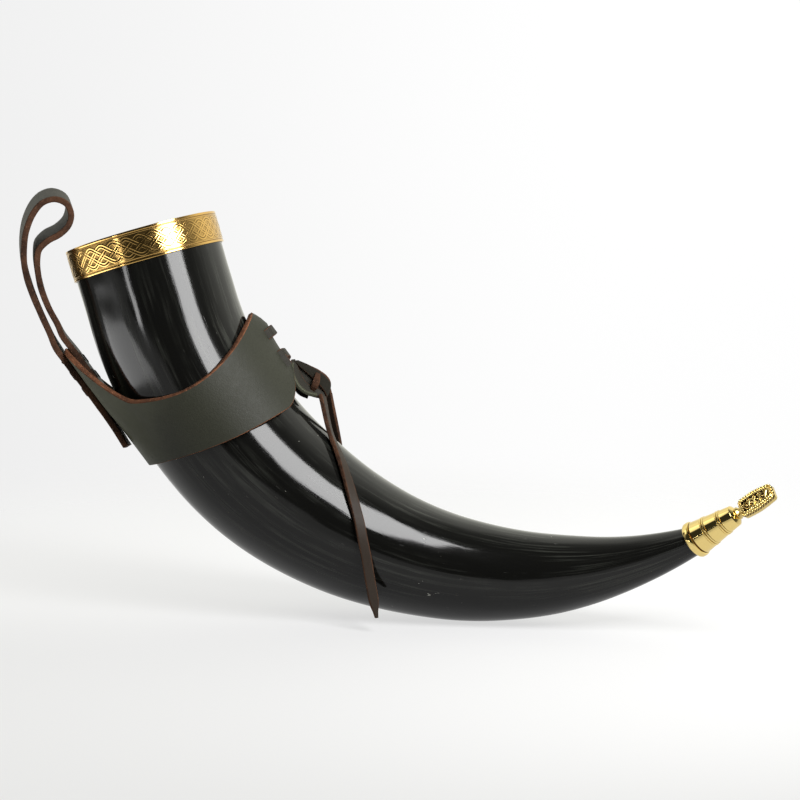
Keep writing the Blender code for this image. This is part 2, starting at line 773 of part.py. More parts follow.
def smooth_route(points, spacing):
    """Evenly spaced points on one smooth curve through the given ones."""
    points = np.array(points)
    stations = np.concatenate(([0], np.cumsum(np.linalg.norm(np.diff(points, axis=0), axis=1))))
    count = int(math.ceil(stations[-1] / spacing))
    places = np.linspace(0, stations[-1], count + 1)
    return [[float(smooth_value(stations, axis, place)) for axis in points.T] for place in places]


def make_lace_tails(parts, pivot):
    """Two free ends that leave the knot, lie over the horn and hang off its flanks."""
    thong = finish("tail_leather", STRAP_BROWN, 0.65, 0)
    to_holder = holder_frame().inverted()
    tails = (
        ("lace_tail_front", -1, FRONT_TAIL_OVER, FRONT_TAIL_DROP),
        ("lace_tail_rear", 1, REAR_TAIL_OVER, REAR_TAIL_DROP),
    )
    for name, side, over, drop in tails:
        laid = laid_route(over)
        hanging = [laid[-1] + drop * share for share in (0.5, 1.0)]
        lying = [to_holder @ point for point in laid + hanging]
        route = [knot_exit(side, lying[0]), *lying]
        curve = poly_curve(name, *with_radius(smooth_route(route, TAIL_SPACING), TAIL_RADIUS), 8)
        curve.materials.append(thong)
        tail = bpy.data.objects.new(name, curve)
        parts.objects.link(tail)
        tail.parent = pivot


def with_radius(points, radius):
    return points, [radius] * len(points)


def stand_on_floor(parts, root):
    """Sets the object on z = 0, centred in X and Y on its hard and leather pieces without the tails."""
    bpy.context.view_layer.update()
    graph = bpy.context.evaluated_depsgraph_get()
    corners = []
    for obj in parts.objects:
        if obj.type != "MESH":
            continue
        shown = obj.evaluated_get(graph)
        mesh = shown.to_mesh()
        corners += [obj.matrix_world @ vert.co for vert in mesh.vertices]
        shown.to_mesh_clear()
    low = np.min(corners, axis=0)
    high = np.max(corners, axis=0)
    root.location = (-(low[0] + high[0]) / 2, -(low[1] + high[1]) / 2, -low[2])


def main():
    clear_scene()
    scene = bpy.context.scene.collection
    parts = new_collection("drinking_horn", scene)
    cutters = new_collection("cutters", scene)
    slots = new_collection("lacing_slots", cutters)
    stitches = new_collection("stitch_holes", cutters)

    root = empty("bend_centre")
    make_horn(parts, cutters, root)
    make_rim_band(parts, root)
    make_tip_ferrule(parts, root)
    make_finial(parts, cutters, root)

    holder = empty("holder_pivot", root)
    pivot = empty("sleeve", holder, holder_frame())
    make_lacing_slots(slots, pivot)
    make_stitch_holes(stitches, pivot)
    make_collar(parts, slots, stitches, pivot)
    make_strap_legs(parts, stitches, pivot)
    make_strap_loop(parts, cutters, pivot)
    make_threads(parts, pivot)
    make_lace_crossings(parts, pivot)
    make_lace_knot(parts, pivot)
    make_lace_tails(parts, pivot)
    stand_on_floor(parts, root)


main()
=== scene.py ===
"""Looks for a drinking horn in its leather belt holder.

Laid out as an add-on and run as a script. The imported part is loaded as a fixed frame, and each
operator makes the pieces that stand for its nodes, in metres, in the frame's own axes.
"""

import json
import math

import bmesh
import bpy
import numpy as np
from mathutils import Matrix, Vector, noise


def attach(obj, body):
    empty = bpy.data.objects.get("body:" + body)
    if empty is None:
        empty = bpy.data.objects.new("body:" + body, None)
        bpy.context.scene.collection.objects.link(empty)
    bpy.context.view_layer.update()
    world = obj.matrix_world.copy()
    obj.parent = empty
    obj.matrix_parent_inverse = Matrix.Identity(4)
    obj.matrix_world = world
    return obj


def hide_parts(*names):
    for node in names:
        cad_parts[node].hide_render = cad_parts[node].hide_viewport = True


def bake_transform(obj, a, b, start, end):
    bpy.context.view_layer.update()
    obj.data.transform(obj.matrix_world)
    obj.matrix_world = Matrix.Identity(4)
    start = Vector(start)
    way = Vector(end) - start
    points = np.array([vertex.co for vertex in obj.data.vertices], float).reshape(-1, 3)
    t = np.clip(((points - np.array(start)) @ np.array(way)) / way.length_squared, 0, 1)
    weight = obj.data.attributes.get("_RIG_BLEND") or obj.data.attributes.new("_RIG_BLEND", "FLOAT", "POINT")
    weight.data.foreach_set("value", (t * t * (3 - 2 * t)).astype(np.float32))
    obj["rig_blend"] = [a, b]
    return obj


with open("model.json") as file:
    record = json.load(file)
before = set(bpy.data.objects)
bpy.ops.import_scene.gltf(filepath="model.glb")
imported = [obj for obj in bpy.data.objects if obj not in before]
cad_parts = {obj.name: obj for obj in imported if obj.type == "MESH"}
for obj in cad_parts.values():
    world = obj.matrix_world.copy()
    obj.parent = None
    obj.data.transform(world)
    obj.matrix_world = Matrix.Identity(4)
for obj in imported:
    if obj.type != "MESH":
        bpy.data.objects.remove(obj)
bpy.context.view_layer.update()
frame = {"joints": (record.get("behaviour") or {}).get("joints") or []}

bl_info = {
    "name": "Drinking Horn Looks",
    "version": (1, 0, 0),
    "blender": (4, 5, 0),
    "location": "3D View > Sidebar > Drinking Horn",
    "description": "Dresses a packed drinking horn: polished horn, engraved brass, laced leather",
    "category": "Object",
}

JOINTS = {joint["name"]: joint for joint in frame["joints"]}

# Bend of the horn, as in the part's source
BEND_CENTRE = Vector(JOINTS["holder_slide"]["pos_m"])
MOUTH_TILT = math.radians(16.0)
NECK_LENGTH = 0.0404
BEND_RADIUS = 0.177
HORN_LENGTH = 0.3639
SWAY_START = 0.1107
TIP_SWAY = 0.0375
TIP_DROP = 0.0026
HORN_RADII = (0.0371, 0.0377, 0.0370, 0.0293, 0.0204, 0.0069)
TIP_LIFT = math.radians(9.5)
SPIGOT_LENGTH = 0.0140
SPIGOT_RADIUS = 0.0050
WALL_AT_MOUTH = 0.0032
WALL_AT_DEPTH = 0.0060
HOLLOW_DEPTH = 0.2267
HOLLOW_END_LENGTH = 0.018
BEND_START = math.pi + MOUTH_TILT

# Brass, as in the part's source
GAP = 0.0003
BAND_HEIGHT = 0.0155
BAND_WALL = 0.0007
BAND_BEAD = 0.0002
FERRULE_LENGTH = 0.0265
FLANGE_RADIUS = 0.0089
FLANGE_HEIGHT = 0.0037
CONE_BASE_RADIUS = 0.0082
CONE_END_RADIUS = 0.0050
NOSE_RADIUS = 0.0036
NOSE_HEIGHT = 0.0018
BEAD_PAIR_AT = (0.0104, 0.0184)
BEAD_SPACING = 0.0011
FINIAL_LENGTH = 0.0206
FINIAL_NECK_LENGTH = 0.0024
FINIAL_NECK_RADIUS = 0.0025
FINIAL_SPIGOT_RADIUS = 0.0016
FINIAL_SPIGOT_LENGTH = 0.0040
FINIAL_THICKNESS = 0.0052
FINIAL_BASE_WIDTH = 0.0088
FINIAL_WIDTH = 0.0098
FINIAL_END_WIDTH = 0.0074
FINIAL_WIDEST_AT = 0.45
FINIAL_EDGE = 0.0013
FINIAL_ROLL = math.radians(60.0)

# Leather holder, as in the part's source; heights are along the sleeve, from its middle
SNUG = 0.0004
HOLDER_AT = math.pi + math.radians(36.5)
HOLDER_TURN = math.radians(12.0)
LEATHER = 0.0026
FRONT_RELIEF = 0.0048
BACK_CORNER = 0.0260
COLLAR_TOP = (0.0450, 0.0228, 0.0358)
COLLAR_LOW = (0.0045, -0.0095, -0.0142)
COLLAR_CORNER_RISE = 0.0165
COLLAR_CORNER_FROM = math.radians(132.0)
TAB_TOP = 0.0750
TAB_SHOULDER = math.radians(32.0)
SEAM_GAP = 0.0012
STRAP_WIDTH = 0.0250
STRAP_THICKNESS = 0.0030
OUTER_LEG_LOW = 0.0188
INNER_LEG_LOW = 0.0460
HINGE_ABOVE_TAB = 0.0015
LOOP_SWING_GAP = 0.0011
THREAD_RADIUS = 0.00045
STITCH_COUNT = 5
STITCH_END_INSET = 0.0040
STITCH_ROW_INSET = 0.0035
LACE_WIDTH = 0.0055
LACE_THICKNESS = 0.0022
LACE_CORNER = 0.00045
CROSSING_AT = (0.0228, 0.0099)
KNOT_RADII = (0.0048, 0.0115, 0.0075)
KNOT_AT = -0.0085
KNOT_SIDE = -0.0015
KNOT_EXIT_WAY = (0.25, -0.9, 0.42)
TAIL_RADIUS = 0.0015
FRONT_TAIL_OVER = ((36.5, 12.0), (43.0, 38.0), (48.5, 64.0), (51.5, 84.0))
FRONT_TAIL_DROP = Vector((0.0060, -0.0020, -0.0340))
FRONT_TAIL_TWIST = -0.40
REAR_TAIL_OVER = ((39.4, -45.0), (41.3, -59.0), (43.0, -72.0), (44.5, -85.0))
REAR_TAIL_DROP = Vector((-0.0010, 0.0015, -0.0450))
REAR_TAIL_TWIST = -0.15
TAIL_TWIST_AT_KNOT = 0.7  # share of the twist that a tail starts with
LOOP_ROUTE = (
    (-0.0023, 0.0142),
    (-0.0046, 0.0246),
    (-0.0074, 0.0350),
    (-0.0104, 0.0430),
    (-0.0147, 0.0508),
    (-0.0196, 0.0571),
    (-0.0249, 0.0620),
    (-0.0310, 0.0657),
    (-0.0386, 0.0674),
    (-0.0443, 0.0652),
    (-0.0473, 0.0600),
    (-0.0462, 0.0549),
    (-0.0420, 0.0511),
    (-0.0352, 0.0498),
    (-0.0286, 0.0506),
    (-0.0230, 0.0496),
    (-0.0190, 0.0456),
    (-0.0150, 0.0391),
    (-0.0118, 0.0323),
    (-0.0087, 0.0219),
    (-0.0071, 0.0115),
)
LOOP_END_LEAD = 0.0080
LOOP_LEAN = 0.36
LOOP_LEAN_IN = 0.055
LOOP_LEAN_START = 0.0215
LOOP_LEAN_FULL = 0.0555

# Camera, read from the photograph's framing
CAMERA_AIM = BEND_CENTRE + Vector((-0.0516, 0, -0.0924))
CAMERA_AZIMUTH = math.radians(4.0)
CAMERA_ELEVATION = math.radians(6.0)

# Lights: size, place, and the azimuth and elevation in degrees that the back is turned to
SOFTBOX = ((0.206, 0.400), (0.212, -0.262, 0.410), 20.0, 0.0)
FILL_LIGHT = ((0.36, 0.50), (-0.555, -0.23, 0.003), 0.0, -90.0)
STRIP_LIGHT = ((0.08, 0.100), (-0.51, -0.81, 0.095), -31.0, -4.0)

# Floor, and the bright patch in the surroundings at the object's left
FLOOR_RADIUS = 1.4
FLOOR_FADE = (0.22, 0.62)
FLOOR_PALENESS = 0.585
PATCH_AZIMUTH = math.radians(-92.0)
PATCH_ELEVATION = math.radians(42.0)


# Settings that a user would change


def colour_property(name, description, default):
    return bpy.props.FloatVectorProperty(
        name=name, description=description, subtype="COLOR", default=default, min=0, max=1
    )


def power_property(name, description, default):
    return bpy.props.FloatProperty(
        name=name, description=description, subtype="POWER", default=default, min=0, max=200
    )


class HornSettings(bpy.types.PropertyGroup):
    """Finish of the horn itself."""

    black: colour_property("Black", "Body colour of the polished horn", (0.0050, 0.0050, 0.0045))
    streak: colour_property("Streak", "Colour of the faint streaks along the horn", (0.038, 0.040, 0.034))
    unevenness: bpy.props.FloatProperty(
        name="Unevenness",
        description="How deep the hand-polished waves in the surface are",
        unit="LENGTH",
        default=0.00045,
        min=0,
        max=0.002,
    )


class BrassSettings(bpy.types.PropertyGroup):
    """Brass of the rim band, the ferrule and the finial."""

    gold: colour_property("Gold", "Colour of the polished brass", (0.93, 0.71, 0.27))
    bronze: colour_property("Bronze", "Colour of the rim band's warmer brass", (0.80, 0.50, 0.16))
    tarnish: colour_property("Tarnish", "Colour of the darkened recesses", (0.17, 0.085, 0.024))
    arcs: bpy.props.IntProperty(
        name="Plait arcs",
        description="Arcs of the interlace along each border of the rim band, a multiple of four",
        default=36,
        min=16,
        max=64,
    )
    strand: bpy.props.FloatProperty(
        name="Strand width",
        description="Width of one ribbon of the interlace",
        unit="LENGTH",
        default=0.0024,
        min=0.0005,
        max=0.004,
    )


class LeatherSettings(bpy.types.PropertyGroup):
    """Leather of the holder."""

    olive: colour_property("Olive", "Grain side of the collar", (0.028, 0.029, 0.019))
    brown: colour_property("Brown", "Grain side of the strap and the lacing", (0.030, 0.027, 0.019))
    russet: colour_property("Russet", "Raw cut edge of the collar", (0.18, 0.070, 0.032))
    thong: colour_property("Thong", "Faces of the lace's two tails", (0.030, 0.020, 0.013))
    chestnut: colour_property("Chestnut", "Raw cut edge of the strap and the lace", (0.082, 0.036, 0.018))
    thread: colour_property("Thread", "Waxed sewing thread", (0.050, 0.036, 0.024))


class StageSettings(bpy.types.PropertyGroup):
    """Camera and light."""

    distance: bpy.props.FloatProperty(
        name="Camera distance",
        description="From the camera to the middle of the view",
        unit="LENGTH",
        default=0.802,
        min=0.3,
        max=4,
    )
    field: bpy.props.FloatProperty(
        name="Field of view",
        description="Angle that the square view takes in",
        subtype="ANGLE",
        default=math.radians(28.0),
        min=0.1,
        max=2,
    )
    key: power_property("Softbox", "Power of the softbox at the camera's right", 4.2)
    fill: power_property("Fill", "Power of the low light at the left, which faces up", 1.9)
    strip: power_property("Strip", "Power of the small light at the camera's left", 0.26)


# Shape of the horn


def smooth_value(stations, values, at):
    """The value at a place between stations, on cubic pieces that share their slopes."""
    slopes = np.gradient(values, stations)
    i = int(np.clip(np.searchsorted(stations, at) - 1, 0, len(stations) - 2))
    width = stations[i + 1] - stations[i]
    t = (at - stations[i]) / width
    rise = values[i + 1] - values[i]
    left = slopes[i] * width - rise
    right = rise - slopes[i + 1] * width
    return float(values[i] + t * rise + t * (1 - t) * ((1 - t) * left + t * right))


def smooth_step(start, end, value):
    t = min(max((value - start) / (end - start), 0), 1)
    return t * t * (3 - 2 * t)


def lengths_along(points):
    """The length from the first point to each, in straight runs."""
    return np.concatenate(([0], np.cumsum(np.linalg.norm(np.diff(points, axis=0), axis=1))))


def smooth_route(points, spacing):
    """Evenly spaced points on one smooth curve through the given ones."""
    points = np.array(points)
    stations = lengths_along(points)
    count = int(math.ceil(stations[-1] / spacing))
    places = np.linspace(0, stations[-1], count + 1)
    return [Vector([smooth_value(stations, axis, place) for axis in points.T]) for place in places]


def smooth_route_values(points, values, count):
    """Vectors given at the points of a route, read at even places along it."""
    points = np.array(points)
    values = np.array(values)
    stations = lengths_along(points)
    places = np.linspace(0, stations[-1], count)
    rows = [[smooth_value(stations, axis, place) for axis in values.T] for place in places]
    return [Vector(row).normalized() for row in rows]


def bend_direction(angle):
    return Vector((math.cos(angle), 0, math.sin(angle)))


def bend_heading(angle):
    """The way towards the tip at an angle of the bend."""
    return Vector((-math.sin(angle), 0, math.cos(angle)))


def tip_axis():
    turned = (HORN_LENGTH - NECK_LENGTH) / BEND_RADIUS
    sway_slope = -3 * TIP_SWAY / (HORN_LENGTH - SWAY_START)
    heading = bend_heading(BEND_START + turned)
    return (heading + Vector((0, sway_slope, math.tan(TIP_LIFT)))).normalized()


def spine(along):
    """The horn's centre line at a length from the rim."""
    if along > HORN_LENGTH:
        return spine(HORN_LENGTH) + tip_axis() * (along - HORN_LENGTH)
    turned = max(along - NECK_LENGTH, 0) / BEND_RADIUS
    point = bend_direction(BEND_START + turned) * BEND_RADIUS
    point += bend_heading(BEND_START) * min(along - NECK_LENGTH, 0)
    share = max(along - SWAY_START, 0) / (HORN_LENGTH - SWAY_START)
    return BEND_CENTRE + point + Vector((0, -TIP_SWAY * share**3, -TIP_DROP * share**2))


def horn_radius(along):
    if along > HORN_LENGTH:
        share = (along - HORN_LENGTH) / SPIGOT_LENGTH
        return HORN_RADII[-1] + (SPIGOT_RADIUS - HORN_RADII[-1]) * share
    stations = np.linspace(0, HORN_LENGTH, len(HORN_RADII))
    return smooth_value(stations, np.array(HORN_RADII), along)


def hollow_radius(along):
    """The hollow follows the horn at a growing wall and closes in a round end."""
    wall = WALL_AT_MOUTH + (WALL_AT_DEPTH - WALL_AT_MOUTH) * max(along, 0) / HOLLOW_DEPTH
    into_end = max(along - (HOLLOW_DEPTH - HOLLOW_END_LENGTH), 0) / HOLLOW_END_LENGTH
    return (horn_radius(max(along, 0)) - wall) * math.sqrt(1 - 0.97 * into_end**2)


def frame_matrix(x, y, z, origin):
    return Matrix.Translation(origin) @ Matrix((x, y, z)).transposed().to_4x4()


def horn_frame(along):
    """X and Y across the horn at a length from the rim, Z towards the tip."""
    step = 0.0005
    heading = (spine(along + step) - spine(along - step)).normalized()
    side = (Vector((0, 1, 0)) - heading * heading.y).normalized()
    return frame_matrix(side, heading.cross(side), heading, spine(along))


def rim_frame():
    """Z out of the mouth."""
    up = -bend_heading(BEND_START)
    side = Vector((0, 1, 0))
    return frame_matrix(side.cross(up), side, up, spine(0))


def tip_frame():
    """Z out of the tip, Y out of the finial's carved face."""
    axis = tip_axis()
    up = (Vector((0, 0, 1)) - axis * axis.z).normalized()
    near = up.cross(axis)
    face = up * math.cos(FINIAL_ROLL) - near * math.copysign(math.sin(FINIAL_ROLL), near.y)
    return frame_matrix(face.cross(axis), face, axis, spine(HORN_LENGTH))


# Shape of the holder, in a frame on the horn's centre line: X out at the back, Y up the sleeve, Z across


def holder_station():
    return NECK_LENGTH + BEND_RADIUS * (HOLDER_AT - BEND_START)


def holder_frame():
    out = bend_direction(HOLDER_AT)
    up = -bend_heading(HOLDER_AT)
    placed = frame_matrix(out, up, Vector((0, 1, 0)), spine(holder_station()))
    return placed @ Matrix.Rotation(HOLDER_TURN, 4, "Y")


def sleeve_radius():
    heights = (COLLAR_LOW[1], 0, COLLAR_TOP[1])
    return max(horn_radius(holder_station() - height) for height in heights) + SNUG


HOLDER = holder_frame()
SLEEVE = sleeve_radius()
SEAM_INSIDE = -SLEEVE - FRONT_RELIEF
SEAM_OUTSIDE = SEAM_INSIDE - LEATHER
OUTER_LEG = SLEEVE + LEATHER + GAP + STRAP_THICKNESS / 2
INNER_LEG = SLEEVE - GAP - STRAP_THICKNESS / 2
HINGE = Vector((OUTER_LEG, TAB_TOP + HINGE_ABOVE_TAB, 0))


def edge_height(around, heights):
    """An edge of the collar: its heights at the back, sides and front, with a cosine between."""
    back, side, front = heights
    mean = (back + front) / 4 + side / 2
    return mean + (back - front) / 2 * math.cos(around) + (mean - side) * math.cos(2 * around)


def collar_top(around):
    edge = edge_height(around, COLLAR_TOP)
    tab_edge = math.asin(STRAP_WIDTH / 2 / SLEEVE)
    tab = smooth_step(tab_edge + TAB_SHOULDER, tab_edge, abs(around)) ** 2
    return edge + (TAB_TOP - edge) * tab


def collar_bottom(around):
    """Cut away towards the front seam, below the lacing."""
    edge = edge_height(around, COLLAR_LOW)
    return edge + COLLAR_CORNER_RISE * smooth_step(COLLAR_CORNER_FROM, math.pi, abs(around))


def sleeve_point(around, height, flatness):
    """Inner face of the sleeve; around is 0 at the back and a half turn at the front seam."""
    side = -SLEEVE * math.sin(around)
    if math.cos(around) > 0:
        flat = flatness * smooth_step(BACK_CORNER, STRAP_WIDTH / 2, abs(side))
        depth = SLEEVE * (math.cos(around) * (1 - flat) + flat)
    else:
        depth = (SLEEVE + FRONT_RELIEF) * math.cos(around)
    return Vector((depth, height, side))


def knot_centre():
    return Vector((SEAM_OUTSIDE - GAP - KNOT_RADII[0], KNOT_AT, KNOT_SIDE))


def knot_exit(side, first):
    """Where a tail leaves the knot towards its first place on the horn: low on one side, just clear."""
    aslant, up, aside = KNOT_EXIT_WAY
    way = Vector((-aslant * side, up, aside * side)).normalized()
    on_knot = knot_centre() + Vector(a * b for a, b in zip(way, KNOT_RADII))
    out = Vector(a / b for a, b in zip(way, KNOT_RADII)).normalized()
    facing = (first - on_knot).normalized().dot(out)
    return on_knot + out * (GAP + TAIL_RADIUS * math.sqrt(1 - facing**2))


def over_horn(past_neck, round_from_inside):
    """Where a tail lies on the horn, and the way out of the horn there."""
    along = NECK_LENGTH + BEND_RADIUS * math.radians(past_neck)
    inward = -bend_direction(BEND_START + math.radians(past_neck))
    wrap = math.radians(round_from_inside)
    way = inward * math.cos(wrap) - Vector((0, 1, 0)) * math.sin(wrap)
    return spine(along) + way * (horn_radius(along) + SNUG + TAIL_RADIUS), way


# Mesh helpers


def new_bmesh(*marks):
    """An empty bmesh whose vertices keep their laid-out place and the named marks."""
    bm = bmesh.new()
    bm.verts.layers.float_vector.new("laid")
    for mark in marks:
        bm.verts.layers.float.new(mark)
    return bm


def fresh_verts(made):
    return [item for item in made["geom"] if isinstance(item, bmesh.types.BMVert)]


def edges_among(verts):
    """The edges between some vertices, in an order that is the same each run."""
    chosen = set(verts)
    found = dict.fromkeys(edge for vert in verts for edge in vert.link_edges)
    return [edge for edge in found if chosen.issuperset(edge.verts)]


def sweep(bm, ring, stations, lengths):
    """Extrudes a ring, drawn about the origin, through a row of matrices, and caps its ends.

    The ring's own place and the length along the row are kept in the attribute "laid".
    """
    laid = bm.verts.layers.float_vector["laid"]
    for vert in ring:
        vert[laid] = (vert.co.x, vert.co.y, lengths[0])
    bmesh.ops.transform(bm, matrix=stations[0], verts=ring)
    edges = edges_among(ring)
    first = edges
    for before, here, length in zip(stations, stations[1:], lengths[1:]):
        verts = fresh_verts(bmesh.ops.extrude_edge_only(bm, edges=edges))
        edges = edges_among(verts)
        bmesh.ops.transform(bm, matrix=here @ before.inverted(), verts=verts)
        for vert in verts:
            vert[laid].z = length
    bmesh.ops.contextual_create(bm, geom=first)
    bmesh.ops.contextual_create(bm, geom=edges)


def sweep_open(bm, ring, stations):
    """Extrudes a ring through a row of matrices and leaves its ends open."""
    bmesh.ops.transform(bm, matrix=stations[0], verts=ring)
    edges = edges_among(ring)
    for before, here in zip(stations, stations[1:]):
        verts = fresh_verts(bmesh.ops.extrude_edge_only(bm, edges=edges))
        edges = edges_among(verts)
        bmesh.ops.transform(bm, matrix=here @ before.inverted(), verts=verts)


def round_section(bm, sides, radius):
    return bmesh.ops.create_circle(bm, segments=sides, radius=radius)["verts"]


def strip_section(bm, width, thickness, corner, cuts=4):
    """A flat strip's outline with round corners; its cut edges are marked in the attribute "cut"."""
    cut = bm.verts.layers.float["cut"]
    verts = bmesh.ops.create_grid(bm, x_segments=cuts, y_segments=1, size=0.5)["verts"]
    corners = [vert for vert in verts if len(vert.link_edges) == 2]
    bmesh.ops.scale(bm, vec=(width, thickness, 1), verts=verts)
    bmesh.ops.dissolve_faces(bm, faces=bm.faces[:], use_verts=False)
    bmesh.ops.bevel(
        bm, geom=corners, offset=corner, segments=3, profile=0.5, affect="VERTICES", material=-1
    )
    bmesh.ops.delete(bm, geom=bm.faces[:], context="FACES_ONLY")
    ring = bm.verts[:]
    for vert in ring:
        vert[cut] = float(abs(vert.co.x) > width / 2 - corner * 1.01)
    return ring


def mark_cut_faces(bm):
    """Faces whose corners are all on a cut edge take the second material."""
    cut = bm.verts.layers.float["cut"]
    for face in bm.faces:
        if all(vert[cut] > 0.5 for vert in face.verts):
            face.material_index = 1


def strip_stations(points, acrosses, shrink=None):
    """Matrices along a flat strip: X across it, Y out of its face, Z along."""
    stations = []
    lengths = [0.0]
    for i, point in enumerate(points):
        before = points[max(i - 1, 0)]
        after = points[min(i + 1, len(points) - 1)]
        along = (after - before).normalized()
        across = acrosses[i]
        out = along.cross(across).normalized()
        size = shrink[i] if shrink else 1.0
        stations.append(frame_matrix(across * size, out, along, point))
        if i:
            lengths.append(lengths[-1] + (point - points[i - 1]).length)
    return stations, lengths


def tube_stations(points, radii):
    """Matrices along a round wire of unit section."""
    stations = []
    lengths = [0.0]
    side = None
    for i, point in enumerate(points):
        before = points[max(i - 1, 0)]
        after = points[min(i + 1, len(points) - 1)]
        along = (after - before).normalized()
        if side is None:
            side = along.orthogonal()
        side = (side - along * side.dot(along)).normalized()
        placed = frame_matrix(side, along.cross(side), along, point)
        stations.append(placed @ Matrix.Diagonal((radii[i], radii[i], 1, 1)))
        if i:
            lengths.append(lengths[-1] + (point - points[i - 1]).length)
    return stations, lengths


def round_corners(corners, radius):
    """A path along straight runs, with each corner rounded off."""
    points = [corners[0]]
    for before, here, after in zip(corners, corners[1:], corners[2:]):
        start = here + (before - here).normalized() * radius
        end = here + (after - here).normalized() * radius
        for share in (0, 0.25, 0.5, 0.75, 1):
            points.append(start.lerp(here, share).lerp(here.lerp(end, share), share))
    return points + [corners[-1]]


def turn(bm, profile, steps):
    """Spins a profile of (radius, height) pairs about Z; an open one starts and ends on the axis."""
    verts = [bm.verts.new((radius, 0, height)) for radius, height in profile]
    edges = [bm.edges.new(pair) for pair in zip(verts, verts[1:])]
    if profile[0][0] > 0:
        edges.append(bm.edges.new((verts[-1], verts[0])))
    bmesh.ops.spin(
        bm,
        geom=verts + edges,
        cent=(0, 0, 0),
        axis=(0, 0, 1),
        angle=math.tau,
        steps=steps,
        use_merge=True,
    )
    bmesh.ops.remove_doubles(bm, verts=bm.verts, dist=1e-6)


def round_sharp_edges(bm, edges, width, angle):
    """Rounds those of the edges that turn by more than an angle in degrees."""
    limit = math.radians(angle)
    sharp = [edge for edge in edges if len(edge.link_faces) == 2 and edge.calc_face_angle(0) > limit]
    bmesh.ops.bevel(
        bm,
        geom=sharp,
        offset=width,
        segments=2,
        profile=0.5,
        affect="EDGES",
        material=-1,
        clamp_overlap=True,
    )


def mark_depth(bm, low, high):
    """Darkens a carved piece towards its foot."""
    recess = bm.verts.layers.float["recess"]
    for vert in bm.verts:
        vert[recess] = 1.0 - smooth_step(low, high, vert.co.y)


def join(bm, part):
    """Adds one bmesh to another."""
    bmesh.ops.recalc_face_normals(part, faces=part.faces)
    mesh = bpy.data.meshes.new("part")
    part.to_mesh(mesh)
    part.free()
    bm.from_mesh(mesh)
    bpy.data.meshes.remove(mesh)


def add_piece(name, bm, materials, sharp=40.0):
    """Makes an object at the origin from a bmesh, with smooth faces up to an angle."""
    bmesh.ops.recalc_face_normals(bm, faces=bm.faces)
    mesh = bpy.data.meshes.new(name)
    bm.to_mesh(mesh)
    bm.free()
    for material in materials:
        mesh.materials.append(material)
    mesh.shade_smooth()
    mesh.set_sharp_from_angle(angle=math.radians(sharp))
    piece = bpy.data.objects.new(name, mesh)
    bpy.context.scene.collection.objects.link(piece)
    return piece


def settle(piece, body, nodes):
    """Puts a piece on its body in place of its nodes."""
    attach(piece, body)
    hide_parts(*nodes)


# Material helpers


class Socket:
    """One output of a node; sums written with it add Math nodes."""

    def __init__(self, finish, output):
        self.finish = finish
        self.output = output

    def _sum(self, operation, first, second):
        return self.finish.node("ShaderNodeMath", {"operation": operation}, {0: first, 1: second})

    def __add__(self, other):
        return self._sum("ADD", self, other)

    def __radd__(self, other):
        return self._sum("ADD", other, self)

    def __sub__(self, other):
        return self._sum("SUBTRACT", self, other)

    def __rsub__(self, other):
        return self._sum("SUBTRACT", other, self)

    def __mul__(self, other):
        return self._sum("MULTIPLY", self, other)


class Finish:
    """A node tree that is filled by plain calls."""

    def __init__(self, tree):
        self.tree = tree

    def node(self, kind, settings=None, sockets=None, output=0):
        """Adds a node: its type, its settings, then the values or links of its sockets."""
        made = self.tree.nodes.new(kind)
        for name, value in (settings or {}).items():
            setattr(made, name, value)
        for name, value in (sockets or {}).items():
            self.feed(made.inputs[name], value)
        return Socket(self, made.outputs[output])

    def feed(self, socket, value):
        if isinstance(value, Socket):
            self.tree.links.new(value.output, socket)
        elif socket.type == "RGBA" and len(value) == 3:
            socket.default_value = (*value, 1)
        else:
            socket.default_value = value

    def step(self, value, low, high):
        """0 below low, 1 above high, smooth between."""
        return self.node(
            "ShaderNodeMapRange",
            {"interpolation_type": "SMOOTHSTEP"},
            {"Value": value, "From Min": low, "From Max": high},
        )

    def mix(self, factor, first, second):
        """A colour between two colours."""
        return self.node(
            "ShaderNodeMix", {"data_type": "RGBA"}, {0: factor, 6: first, 7: second}, output=2
        )

    def stretch(self, vector, scale):
        return self.node("ShaderNodeVectorMath", {"operation": "MULTIPLY"}, {0: vector, 1: scale})

    def noise(self, vector, scale, detail=4.0, rough=0.55, distortion=0.0):
        sockets = {
            "Vector": vector,
            "Scale": scale,
            "Detail": detail,
            "Roughness": rough,
            "Distortion": distortion,
        }
        return self.node("ShaderNodeTexNoise", {}, sockets)

    def cells(self, vector, scale):
        return self.node("ShaderNodeTexVoronoi", {"feature": "F1"}, {"Vector": vector, "Scale": scale})

    def bump(self, height, strength, distance):
        sockets = {"Height": height, "Strength": strength, "Distance": distance}
        return self.node("ShaderNodeBump", {}, sockets)

    def dot(self, first, second):
        settings = {"operation": "DOT_PRODUCT"}
        return self.node("ShaderNodeVectorMath", settings, {0: first, 1: second}, "Value")

    def axis(self, vector, name):
        """One of a vector's three parts."""
        return self.node("ShaderNodeSeparateXYZ", {}, {0: vector}, name)

    def ray(self, kind):
        """1 on light paths of a kind and 0 on all others."""
        return self.node("ShaderNodeLightPath", {}, {}, kind)

    def place(self):
        """The point on the piece, in metres."""
        return self.node("ShaderNodeTexCoord", {}, {}, "Object")

    def attribute(self, name, output):
        return self.node("ShaderNodeAttribute", {"attribute_name": name}, {}, output)


def toned(colour, factor):
    """A colour made darker or paler, with no channel over 1."""
    return tuple(min(part * factor, 1) for part in colour)


def new_material(name):
    """A material, its tree, and its Principled shader."""
    material = bpy.data.materials.new(name)
    material.use_nodes = True
    return material, Finish(material.node_tree), material.node_tree.nodes["Principled BSDF"]


